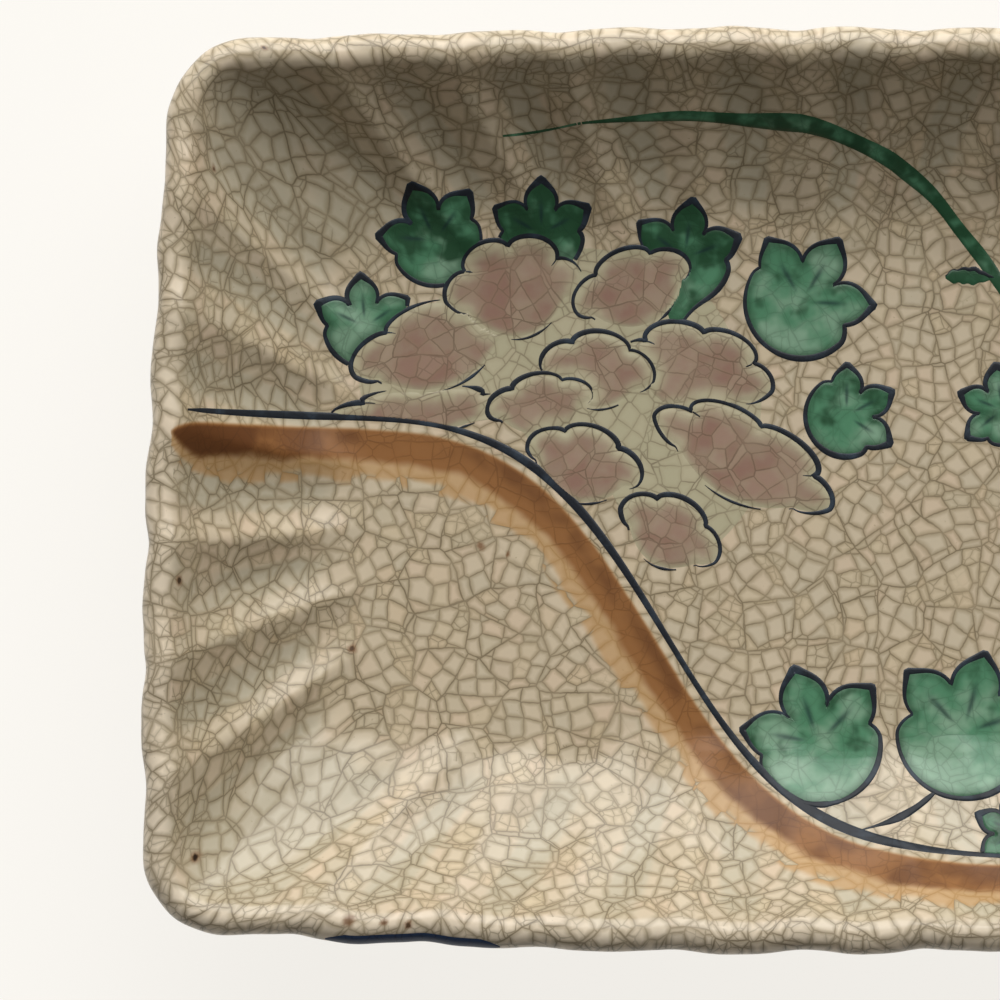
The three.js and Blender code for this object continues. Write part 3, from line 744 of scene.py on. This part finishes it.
def build_foot():
    """The foot ring, its section rounded, with a slightly uneven trimmed edge."""
    outer, inner = FOOT_INSET, FOOT_INSET + FOOT_WIDTH
    section = [(outer - 0.9, FOOT_HEIGHT), (outer - 0.1, FOOT_HEIGHT - 0.5), (outer + 0.2, FOOT_HEIGHT - 1.4)]
    section += [(outer + inset, z) for inset, z in FOOT_SIDE]
    section += [(inner - inset, z) for inset, z in FOOT_SIDE[::-1]]
    section += [(inner - 0.1, FOOT_HEIGHT - 1.0), (inner + 0.6, FOOT_HEIGHT)]
    rings = []
    for inset, z in section:
        plan = outline(inset, FOOT_CORNER_RADIUS - (inset - FOOT_INSET) / 2)
        height = np.full(len(plan), z)
        wobble = FOOT_WOBBLE * ripple(np.column_stack([plan, height]), FOOT_WOBBLE_SIZE, 3)
        wobble *= math.sin(math.pi * z / FOOT_HEIGHT)
        rings.append(np.column_stack([plan + unit(plan) * wobble[:, None], height]))
    faces = grid_faces(len(rings), COUNT)
    dress(make_mesh("foot", np.concatenate(rings), faces), "bare_clay", "foot_ring")


# The ridge: a brush line that runs level, falls and runs level again, with a brown band below it.
RIDGE_LEVEL = 14.5
RIDGE_RISE = 0.035
RIDGE_RISE_END = -60.0
RIDGE_MIDDLE = -22.0
RIDGE_SPREAD = 11.6
RIDGE_LOW_INSET = 16.0
RIDGE_LEFT_INSET = 7.8
RIDGE_RIGHT_END = 56.0
RIDGE_LINE_WIDTH = 1.65
RIDGE_CLEAR = 0.3
BAND_LEFT_INSET = 4.4
BAND_ABOVE = 1.5
BAND_BELOW = 13.0
BAND_OFFSET = 1.9
BAND_ACROSS = 40
BAND_HEIGHT = 0.04
BAND_EDGE = 1.2
BAND_NARROWING = 0.3
BAND_END_ROUND = 6.5
BAND_END_ABOVE = 3.0
BAND_PRESSED = 17.0
BAND_PRESS_FADE = 3.0


def ridge_y(x):
    low = RIDGE_LOW_INSET - DEPTH / 2
    level = RIDGE_LEVEL + RIDGE_RISE * np.minimum(0, x - RIDGE_RISE_END)
    return level + (low - level) / (1 + np.exp(-(x - RIDGE_MIDDLE) / RIDGE_SPREAD))


def behind_ridge(points):
    """Which plan points lie under the ridge line or on its near side."""
    return (points[:, 0] < RIDGE_RIGHT_END) & (points[:, 1] < ridge_y(points[:, 0]) + RIDGE_CLEAR)


# Brush strokes: paths of plan points and the low ridges of enamel along them.
PAD_HEIGHT = 0.12
SUNK = 0.05
STROKE_HEIGHT = 0.02
STROKE_STEP = 0.4
STROKE_ACROSS = 9
PRESS_LENGTH = 3.0
LIFT_LENGTH = 7.0
SPLINE_STEPS = 160
SHORTEST_RUN = 5
COVERED_STROKE_MARGIN = 0.35


def resample(path):
    lengths = np.append(0, np.cumsum(np.linalg.norm(np.diff(path, axis=0), axis=1)))
    count = max(4, int(lengths[-1] / STROKE_STEP) + 1)
    where = np.linspace(0, lengths[-1], count)
    return np.column_stack([np.interp(where, lengths, path[:, k]) for k in range(2)])


def spline(points):
    """A Catmull-Rom curve through a few points."""
    p = np.array([points[0], *points, points[-1]], float)
    made = []
    for a, b, c, d in zip(p, p[1:], p[2:], p[3:]):
        t = np.linspace(0, 1, SPLINE_STEPS // (len(p) - 3), endpoint=False)[:, None]
        curve = 2 * b + (c - a) * t + (2 * a - 5 * b + 4 * c - d) * t**2 + (3 * b - a - 3 * c + d) * t**3
        made.append(0.5 * curve)
    return np.concatenate(made + [p[-1:]])


def left_of(path):
    """Unit vectors to the left of a path, point by point."""
    along = unit(np.gradient(path, axis=0))
    return np.column_stack([-along[:, 1], along[:, 0]])


def brush(path, widest, seed, start, end):
    """Half widths along a path: pressed on at the start, swelling, lifted off at the end."""
    length = STROKE_STEP * (len(path) - 1)
    share = np.linspace(0, 1, len(path))
    press = lerp(start, 1, smooth(share * length / PRESS_LENGTH))
    press *= lerp(end, 1, smooth((1 - share) * length / min(LIFT_LENGTH, length / 2)))
    phase = np.random.default_rng(seed).uniform(0, 6.3, 3)
    swell = 1 + 0.16 * np.sin(5 * share + phase[0]) + 0.1 * np.sin(13 * share + phase[1])
    return widest / 2 * press * swell


def stroke(path, half_width, height, slot="ridge_blue"):
    """A brush stroke: a low ridge along a path of plan points."""
    across = np.linspace(-1, 1, STROKE_ACROSS)
    plan = path[:, None, :] + left_of(path)[:, None, :] * (across[:, None] * half_width[:, None, None])
    share = np.minimum(1, half_width / half_width.max() * 1.6)
    lift = (height + SUNK) * share[:, None] * (1 - across**4) - SUNK
    return {"plan": plan.reshape(-1, 2), "lift": lift.ravel(), "across": np.tile(np.abs(across), len(path)),
            "faces": grid_faces(len(path), STROKE_ACROSS, closed=False, flip=True), "slot": slot}


def visible_runs(path, fronts):
    """Stretches of a path that neither the ridge nor a motif in front covers."""
    hidden = behind_ridge(path)
    for motif in fronts:
        hidden |= motif.holds(path, COVERED_STROKE_MARGIN)
    borders = np.flatnonzero(np.diff(hidden)) + 1
    runs = zip(np.split(path, borders), np.split(hidden, borders))
    return [run for run, gone in runs if not gone[0] and len(run) >= SHORTEST_RUN]


# Motif outlines, in the same formulas as the solids. Angles go clockwise from a motif's own +Y.
LOBE_REACH = 0.72
LOBE_RADIUS = 0.36
TIP_POINT = 0.14
TIP_SPREAD = 7.0
BLADE_RADIUS = 0.97
LOBED_RADIUS = 0.6
STEM_SPREAD = 11.0
SCALLOP_DEPTH = 0.2
ROOT_PINCH = 0.25
LEAF_TIPS = (-61, 0, 61)

# The widths of their strokes, and the widths of a stroke's two ends as shares of its own.
LEAF_STROKE = 1.05
STEM_STROKE = 1.15
PETAL_STROKE = 0.95
ROOT_STROKE = 0.57
NICK_STROKE = 0.665
LEAF_ENDS = (0.9, 0.75)
PETAL_ENDS = (0.45, 0.3)
TIP_SWELL = 0.85
VEIN_WIDTH = 3.5


def angle_between(a, b):
    return np.abs((a - b + 180) % 360 - 180)


def round_angles(count):
    return np.linspace(-180, 180, count + 1)[:-1]


class Motif:
    """A closed outline round a centre, given by the place of its points at an angle before it is turned."""

    def __init__(self, name, at, turn):
        self.name, self.at, self.turn = name, np.array(at, float), math.radians(turn)

    def veins(self, angles, share):
        return np.zeros(len(angles))

    def shades(self, plan):
        return np.full(len(plan), 0.5)

    def swell(self, path):
        return 1.0

    def plan(self, angle, share=1.0):
        """Plan points at the angles, share of the way from the centre to the outline."""
        x, y = self.local(angle) * share
        c, s = math.cos(self.turn), math.sin(self.turn)
        return self.at + np.column_stack([x * c - y * s, x * s + y * c])

    def holds(self, points, margin=0.0):
        """Which plan points lie inside the outline."""
        arms = self.plan(round_angles(180)) - self.at
        ring = self.at + arms * (1 + margin / np.linalg.norm(arms, axis=1)[:, None])
        x, y = points[:, 0], points[:, 1]
        inside = np.zeros(len(points), bool)
        for (x1, y1), (x2, y2) in zip(ring, np.roll(ring, -1, axis=0)):
            crosses = (y1 > y) != (y2 > y)
            with np.errstate(divide="ignore", invalid="ignore"):
                inside ^= crosses & (x < (x2 - x1) * (y - y1) / (y2 - y1) + x1)
        return inside


class Leaf(Motif):
    slot, edge, spread = "green_enamel", 1.1, 360

    def __init__(self, name, at, turn, size, tips=LEAF_TIPS, tail=0.0, stem=None, shade=0.5):
        super().__init__(name, at, turn)
        self.size, self.tips, self.tail, self.stem, self.shade = size, tips, tail, stem, shade

    def from_tip(self, angle):
        return np.min([angle_between(angle, tip) for tip in self.tips], axis=0)

    def local(self, angle):
        gap = self.from_tip(angle)
        inside = LOBE_RADIUS**2 - (LOBE_REACH * np.sin(np.radians(gap))) ** 2
        reach = LOBE_REACH * np.cos(np.radians(gap)) + np.sqrt(np.maximum(inside, 0))
        lobe = np.where(inside > 0, reach, 0) + TIP_POINT * np.exp(-gap / TIP_SPREAD)
        blade = lerp(LOBED_RADIUS, BLADE_RADIUS, smooth((angle_between(angle, 0) - 55) / 45))
        stem = self.tail * np.exp(-angle_between(angle, 180) / STEM_SPREAD)
        radius, way = self.size * (np.maximum(lobe, blade) + stem), np.radians(angle)
        return radius * np.array([np.sin(way), np.cos(way)])

    def veins(self, angles, share):
        width = VEIN_WIDTH * (2 - share)
        strength = np.exp(-((self.from_tip(angles) / width) ** 2))
        return strength * smooth((share - 0.12) / 0.2) * smooth((0.72 - share) / 0.3)

    def shades(self, plan):
        """How dark the enamel is: each leaf's own tone, made paler towards the near side as painted light."""
        return self.shade * (1 - 0.4 * smooth((self.at[1] - plan[:, 1]) / (0.7 * self.size)))

    def swell(self, path):
        """The brush rests on a leaf's tips and lifts at its nicks."""
        x, y = (path - self.at).T
        gap = self.from_tip(np.degrees(np.arctan2(x, y)) + math.degrees(self.turn))
        return 0.75 + TIP_SWELL * np.exp(-gap / 9) + 0.3 * smooth((gap - 25) / 40)

    def strokes(self):
        """One closed stroke, and a stem if it has one, each as a path, its width and its ends."""
        made = [(self.plan(np.linspace(-184, 184, 400)), LEAF_STROKE, LEAF_ENDS)]
        return made + ([(spline(self.stem), STEM_STROKE, PETAL_ENDS)] if self.stem else [])


class Petal(Motif):
    slot, edge = "petal_enamel", 1.8

    def __init__(self, name, at, turn, wide, deep, lobes, spread):
        super().__init__(name, at, turn)
        self.wide, self.deep, self.lobes, self.spread = wide, deep, lobes, spread

    def local(self, angle):
        phase = (angle + self.spread / 2) / self.spread * self.lobes
        on_edge = np.abs(angle) < self.spread / 2
        scallop = np.where(on_edge, np.sqrt(np.abs(np.sin(math.pi * phase))), 0)
        radius, way = 1 - SCALLOP_DEPTH * (1 - scallop), np.radians(angle)
        x, y = radius * np.array([np.sin(way), np.cos(way)])
        return np.array([x * (1 + ROOT_PINCH * np.minimum(0, y)) * self.wide / 2, y * self.deep / 2])

    def strokes(self):
        """A stroke on the scalloped edge, a thin one on the root and short ones in from the nicks."""
        reach = self.spread / 2
        made = [
            (self.plan(np.linspace(-reach - 6, reach + 4, 300)), PETAL_STROKE, PETAL_ENDS),
            (self.plan(np.linspace(reach + 30, reach + 85, 90)), ROOT_STROKE, PETAL_ENDS),
        ]
        shares = np.linspace(1.0, 0.76, 20)
        for nick in np.linspace(-reach, reach, self.lobes + 1)[1:-1]:
            made.append((self.plan(nick + 14 * (1 - shares), shares), NICK_STROKE, PETAL_ENDS))
        return made


# Pads of enamel inside the outlines.
PAD_SPREAD = 0.3
PAD_RINGS = 28
PAD_RINGS_CROWD = 1.4
PAD_ANGLES = 220
PAD_MIDDLE_DEPTH = 8.0
ROOT_FADE = 1.8
COVERED_MARGIN = -0.1
NEIGHBOUR_REACH = 40.0
BORDER_POINTS = 120
PLAIN_PAINT = {"depth": 5.0, "vein": 0.0, "across": 0.0, "shade": 0.75}


def pad(motif):
    """Rings of plan points from the centre out, with lift, depth from the edge and vein strength."""
    angles = round_angles(PAD_ANGLES)
    shares = 1 - (1 - np.linspace(0, 1, PAD_RINGS + 1)[1:]) ** PAD_RINGS_CROWD
    turns, shares = np.tile(angles, PAD_RINGS), np.repeat(shares, PAD_ANGLES)
    rings = motif.plan(turns, shares)
    gaps = np.linalg.norm(rings[:, None, :] - motif.plan(angles), axis=2)
    fade = np.where(np.abs(angles) > motif.spread / 2, ROOT_FADE, 1)
    plan = np.concatenate([[motif.at], rings])
    edge_gap, depth = (np.append(PAD_MIDDLE_DEPTH, each.min(1)) for each in (gaps, gaps * fade))
    lift = (PAD_HEIGHT + SUNK) * smooth((edge_gap + PAD_SPREAD) / motif.edge) - SUNK
    return {"plan": plan, "lift": lift, "depth": depth, "vein": np.append(0, motif.veins(turns, shares)),
            "shade": motif.shades(plan), "faces": disc_faces(PAD_RINGS, PAD_ANGLES), "slot": motif.slot}


def join_parts(name, parts):
    """One piece of several draped parts, in the first one's material and in ink."""
    slots = [parts[0]["slot"], "ridge_blue"]
    faces, owners, start = [], [], 0
    for part in parts:
        faces += [tuple(i + start for i in f) for f in part["faces"]]
        owners += [slots.index(part["slot"])] * len(part["faces"])
        start += len(part["plan"])
        for key, plain in PLAIN_PAINT.items():
            part.setdefault(key, np.full(len(part["plan"]), plain))
    fields = {key: np.concatenate([part[key] for part in parts]) for key in ("plan", "lift", *PLAIN_PAINT)}
    piece = draped(name, faces=faces, **fields)
    for slot in slots:
        piece.data.materials.append(MATERIALS[slot])
    piece.data.polygons.foreach_set("material_index", owners)
    return piece


def paint_motif(motif, fronts):
    """A motif's pad and strokes, sunk out of sight where the ridge or a motif in front covers them."""
    body = pad(motif)
    plan = body["plan"]
    body["lift"] = np.where(behind_ridge(plan), -SUNK, body["lift"])
    for front in fronts:
        body["lift"] = np.where(front.holds(plan, COVERED_MARGIN), -SUNK, body["lift"])
        if np.linalg.norm(front.at - motif.at) < NEIGHBOUR_REACH:
            border = front.plan(np.linspace(-180, 180, BORDER_POINTS))
            gaps = np.linalg.norm(plan[:, None, :] - border, axis=2)
            body["depth"] = np.minimum(body["depth"], gaps.min(1))
    parts = [body]
    for number, (path, widest, ends) in enumerate(motif.strokes()):
        for run in visible_runs(resample(path), fronts):
            half = brush(run, widest, len(motif.name) + number, *ends) * motif.swell(run)
            parts.append(stroke(run, half, PAD_HEIGHT + STROKE_HEIGHT))
    dress(join_parts(motif.name + "_enamel", parts), motif.slot, motif.name)


# The flower's pale ground fills the gaps among its petals.
GROUND_HEIGHT = 0.03
GROUND_EDGE = 1.5
GROUND_INSET = 0.8
GROUND_LEAST = 2
GROUND_REACH = 60
GROUND_STEP = 0.5
GROUND_RINGS = 25
GROUND_ANGLES = 180
GROUND_CLOSING = 8


def flower_ground(name, petals):
    """A low pad under the petals, inside their common outline."""
    centre = np.mean([petal.at for petal in petals], axis=0)
    angles = np.linspace(-math.pi, math.pi, GROUND_ANGLES + 1)[:-1]
    ways = np.column_stack([np.sin(angles), np.cos(angles)])
    steps = np.arange(0, GROUND_REACH, GROUND_STEP)
    reach = np.zeros(GROUND_ANGLES)
    for petal in petals:
        inside = petal.holds((centre + ways[:, None, :] * steps[:, None]).reshape(-1, 2))
        reach = np.maximum(reach, (inside.reshape(GROUND_ANGLES, -1) * steps).max(axis=1))
    near = range(-GROUND_CLOSING, GROUND_CLOSING + 1)
    reach = np.max([np.roll(reach, k) for k in near], axis=0)
    reach = np.maximum(np.min([np.roll(reach, k) for k in near], axis=0) - GROUND_INSET, GROUND_LEAST)
    shares = np.linspace(0, 1, GROUND_RINGS + 1)[1:]
    plan = np.concatenate([[centre], *(centre + ways * (reach * share)[:, None] for share in shares)])
    gaps = np.concatenate([[PAD_MIDDLE_DEPTH], *(reach * (1 - share) for share in shares)])
    lift = (GROUND_HEIGHT + SUNK) * smooth(gaps / GROUND_EDGE) - SUNK
    lift = np.where(behind_ridge(plan), -SUNK, lift)
    faces = disc_faces(GROUND_RINGS, GROUND_ANGLES)
    dress(draped(name, plan, lift, faces, depth=np.zeros(len(plan))), "petal_enamel")


# Flowers: petals from the front one to the back one, and the leaves behind them. A petal's row has its
# name, place, turn, width, depth, lobes and the spread of its scalloped edge. A leaf's has its size.
LEFT_FLOWER_AT = (-35, 20)
LEFT_FLOWER = [
    Petal("petal_low_front", (-1, -15.5), -18, 21, 15, 3, 200),
    Petal("petal_heart", (-8, -5.2), 10, 19, 12, 3, 200),
    Petal("petal_crown", (1.5, 0.5), -8, 20, 15, 3, 220),
    Petal("petal_low_right", (26.2, -14.5), -28, 34, 17, 4, 230),
    Petal("petal_right", (18.2, 0.5), -12, 27, 18, 4, 230),
    Petal("petal_back_right", (8, 14.5), 22, 22, 15.5, 3, 200),
    Petal("petal_back_left", (-12.5, 14.5), 8, 24, 20, 4, 215),
    Petal("petal_left", (-26, 4.5), 18, 30, 17, 3, 210),
    Petal("petal_tail", (13.5, -27), -30, 19, 14, 3, 220),
    Petal("petal_low_left", (-28, -6), 4, 32, 9, 4, 200),
    Leaf("leaf_back_left", (-26, 23.5), 25, 8, shade=0.75),
    Leaf("leaf_back_middle", (-8, 24.5), 0, 7.4, shade=0.8),
    Leaf("leaf_back_right", (16.5, 20.5), -8, 8, tail=0.7, shade=0.8),
    Leaf("leaf_right_large", (36.5, 13), -39, 10, tips=(-68, -8, 54)),
    Leaf("leaf_right_small", (44, -6.5), -62, 7.2, shade=0.6),
    Leaf("leaf_left", (-38, 8.7), 5, 7.2, shade=0.35),
]
RIGHT_FLOWER_AT = (58, 6)
RIGHT_FLOWER = [
    Petal("bloom_front", (-1, -7), -6, 20, 14, 3, 210),
    Petal("bloom_heart", (1, 1), 6, 16, 12, 3, 210),
    Petal("bloom_left", (-8, 5), 38, 19, 14, 3, 220),
    Petal("bloom_right", (9, 6), -34, 19, 14, 3, 220),
    Leaf("bloom_leaf_left", (-22.5, 8.5), 68, 6.2),
    Leaf("bloom_leaf_far", (2, 22), -6, 7.5),
    Leaf("bloom_leaf_right", (22, -6), -84, 7.2),
]
MIDDLE_STEM = [(24.0, -50.2), (20.2, -53.2), (16.0, -55.4), (10.8, -57.0)]
LOOSE_LEAVES = [
    Leaf("near_leaf_left", (4, -42.2), 14, 10.8, tips=(-66, -4, 58)),
    Leaf("near_leaf_middle", (28.5, -40.5), -8, 11.5, tips=(-50, 8, 64), stem=MIDDLE_STEM, shade=0.45),
    Leaf("near_leaf_low", (36.5, -57.5), 62, 5.4, shade=0.7),
    Leaf("near_leaf_right", (56, -44.5), -38, 9),
]


def build_flower(name, at, motifs):
    for motif in motifs:
        motif.at += at
    flower_ground(name, [motif for motif in motifs if isinstance(motif, Petal)])
    for number, motif in enumerate(motifs):
        paint_motif(motif, motifs[:number])


def ridge_path(left_inset):
    x = np.linspace(left_inset - LENGTH / 2, RIDGE_RIGHT_END, 600)
    return resample(np.column_stack([x, ridge_y(x)]))


def build_ridge_line():
    path = ridge_path(RIDGE_LEFT_INSET)
    half = brush(path, RIDGE_LINE_WIDTH, 5, 0.6, 0.1) * (0.82 + 0.22 * np.sin(path[:, 0] / 7.5 + 0.6))
    part = stroke(path, half, PAD_HEIGHT)
    slot = part.pop("slot")
    dress(draped("ridge_stroke", **part), slot, "ridge_line")


def build_ridge_band():
    """A wide strip of thin glaze. above and below say how far a point is from the brown's two edges."""
    path = ridge_path(BAND_LEFT_INSET)
    count = len(path)
    below = np.linspace(-BAND_ABOVE, BAND_BELOW, BAND_ACROSS)
    squeeze = 1 - BAND_NARROWING * np.linspace(0, 1, count) ** 4
    down = -left_of(path) * squeeze[:, None]
    plan = path[:, None, :] + down[:, None, :] * (BAND_OFFSET + below)[:, None]
    from_left = np.arange(count)[:, None] * STROKE_STEP
    from_end = np.minimum(from_left, from_left[::-1])
    edge = np.minimum(np.minimum(below + BAND_ABOVE, BAND_BELOW - below), from_end)
    lift = BAND_HEIGHT * (2 * smooth(edge / BAND_EDGE) - 1)
    rounding = 1 - np.sqrt(1 - (1 - np.clip(from_end / BAND_END_ROUND, 0, 1)) ** 2)
    fields = {
        "above": below - BAND_END_ABOVE * rounding,
        "below": below + BAND_END_ROUND * rounding,
        "press": smooth((BAND_PRESSED - from_left - 0.25 * below) / BAND_PRESS_FADE),
    }
    faces = grid_faces(count, BAND_ACROSS, closed=False)
    piece = draped("ridge_wash", plan.reshape(-1, 2), lift.ravel(), faces, **fields)
    dress(piece, "iron_brown", "ridge_band")


# Blades of grass: the widest width and the points of their middle lines.
BLADES = {
    "grass_blade": (3.0, [
        (-49.5, 60.2), (-25, 63.2), (-2, 62.4), (10, 59.6), (22, 52.5), (28.5, 45), (34, 38), (41, 26)]),
    "blade_leaf": (3.2, [(35, 36.8), (31.5, 37.2), (28.5, 37.4), (26, 37.1)]),
    "grass_blade_right": (2.8, [(52, 61.5), (66, 58), (78, 48), (86, 32)]),
}
BLADE_DEPTH = 2.5
BLADE_EDGE_STROKE = 0.9


def build_blades():
    for name, (widest, points) in BLADES.items():
        path = resample(spline(points))
        share = np.linspace(0, 1, len(path))
        uneven = 1 + 0.12 * np.sin(31 * share) + 0.1 * np.sin(13 * share + 2)
        half = widest / 2 * np.maximum(0.2, np.sin(math.pi * share**1.6) ** 0.6) * uneven
        parts = [stroke(path, half, PAD_HEIGHT, "green_enamel")]
        parts[0]["depth"] = (1 - parts[0].pop("across")) * BLADE_DEPTH
        if name == "blade_leaf":
            edge = path - left_of(path) * half[:, None] * 0.8
            width = brush(edge, BLADE_EDGE_STROKE, 3, *PETAL_ENDS)
            parts.append(stroke(edge, width, PAD_HEIGHT + STROKE_HEIGHT))
        dress(join_parts(name + "_enamel", parts), "green_enamel", name)


# The blue line on the outside of the near lip is built straight onto the lip's round.
NEAR_SIDE = 3
RIM_LINE = (-79.0, -50.0)
RIM_LINE_ANGLE = 23.5
RIM_LINE_HALF_ANGLE = 31.5
RIM_LINE_STEPS = 120
RIM_LINE_ACROSS = 13
RIM_LINE_HEIGHT = 0.1
RIM_LINE_SUNK = 0.03


def build_rim_line():
    x = np.linspace(*RIM_LINE, RIM_LINE_STEPS)
    ring = outline(RIM_WAVE * LIP_NORMAL[0] * CREST + SWAY, CORNER_RADIUS)
    near = np.flatnonzero((SIDE == NEAR_SIDE) & (np.abs(PLACE) < 0.9))
    near = near[np.argsort(ring[near, 0])]
    edge = np.interp(x, ring[near, 0], ring[near, 1])
    height = LIP_CENTRE[1] + np.interp(x, ring[near, 0], RIM_WAVE * LIP_NORMAL[1] * CREST[near])
    share = np.linspace(0, 1, RIM_LINE_STEPS)
    taper = np.sqrt(np.clip(np.minimum(share, 1 - share) * 9, 0.04, 1))
    across = np.linspace(-1, 1, RIM_LINE_ACROSS)
    angle = np.radians(RIM_LINE_ANGLE + RIM_LINE_HALF_ANGLE * taper[:, None] * across)
    radius = LIP_RADIUS + RIM_LINE_HEIGHT * (1 - across**4) - RIM_LINE_SUNK
    y = edge[:, None] + LIP_RADIUS - radius * np.cos(angle)
    z = height[:, None] + radius * np.sin(angle)
    points = np.stack([0 * y + x[:, None], y, z], axis=-1).reshape(-1, 3)
    faces = grid_faces(len(x), len(across), closed=False, flip=True)
    shade = {"across": np.tile(np.abs(across), len(x)), "blue": np.full(len(points), 0.8)}
    piece = make_mesh("rim_stroke", points, faces, points[:, [0, 2]] - CHART_SHIFT, **shade)
    dress(piece, "ridge_blue", "rim_line")


build_body()
build_foot()
build_flower("large_flower_ground", LEFT_FLOWER_AT, LEFT_FLOWER)
build_flower("small_flower_ground", RIGHT_FLOWER_AT, RIGHT_FLOWER)
for loose in LOOSE_LEAVES:
    paint_motif(loose, [])
build_ridge_band()
build_ridge_line()
build_blades()
build_rim_line()


# Stage, lamp and camera.
TABLE_HALF = 3000.0
TABLE_MATT = srgb(246, 243, 237)
TABLE_GLOW = srgb(255, 252, 246)
TABLE_GLOW_SHARE = 0.86
LAMP_PLACE = Vector((0.1, 1.6, 1.28))
LAMP_SIZE = (3.0, 2.1)
LAMP_POWER = 78
ROOM_COLOUR = (1, 0.985, 0.96, 1)
ROOM_STRENGTH = 0.07
VIEW_CENTRE = Vector((-0.050, -0.0022, 0.030))
VIEW_WIDTH = 0.1667
VIEW_DISTANCE = 0.9
VIEW_ELEVATION = math.radians(86)


def stage():
    """The table is matt, and shows a plain pale colour to the camera and in reflections."""
    corners = np.array([(-1, -1, 0), (1, -1, 0), (1, 1, 0), (-1, 1, 0)])
    table = make_mesh("tabletop", corners * TABLE_HALF, [(0, 1, 2, 3)])
    t = Tree("tabletop")
    matt = t.node("BsdfDiffuse", {"Color": TABLE_MATT})
    glow = t.node("Emission", {"Color": TABLE_GLOW, "Strength": 1.0})
    kinds = "Camera", "Glossy", "Transmission"
    camera_ray, glossy_ray, through_ray = (t.node("LightPath", None, f"Is {kind} Ray") for kind in kinds)
    seen = t.math("ADD", camera_ray, glossy_ray + through_ray, clamp=True)
    shader = t.node("MixShader", {0: seen * TABLE_GLOW_SHARE, 1: matt, 2: glow})
    table.data.materials.append(t.finish(shader))


def lights():
    light = bpy.data.lights.new("back_softbox", "AREA")
    light.shape = "RECTANGLE"
    light.size, light.size_y = LAMP_SIZE
    light.energy = LAMP_POWER
    softbox = add("back_softbox", light)
    softbox.location = LAMP_PLACE
    softbox.rotation_euler = (-LAMP_PLACE).to_track_quat("-Z", "Y").to_euler()
    world = bpy.data.worlds.new("room")
    world.use_nodes = True
    background = world.node_tree.nodes["Background"]
    background.inputs["Color"].default_value = ROOM_COLOUR
    background.inputs["Strength"].default_value = ROOM_STRENGTH
    bpy.context.scene.world = world


def camera():
    lens = bpy.data.cameras.new("camera")
    lens.sensor_width = 36
    lens.lens = lens.sensor_width * VIEW_DISTANCE / VIEW_WIDTH
    made = add("camera", lens)
    back = Vector((0, -math.cos(VIEW_ELEVATION), math.sin(VIEW_ELEVATION)))
    made.location = VIEW_CENTRE + back * VIEW_DISTANCE
    made.rotation_euler = (-back).to_track_quat("-Z", "Y").to_euler()
    bpy.context.scene.camera = made


stage()
lights()
camera()
bpy.context.scene.view_settings.view_transform = "Standard"
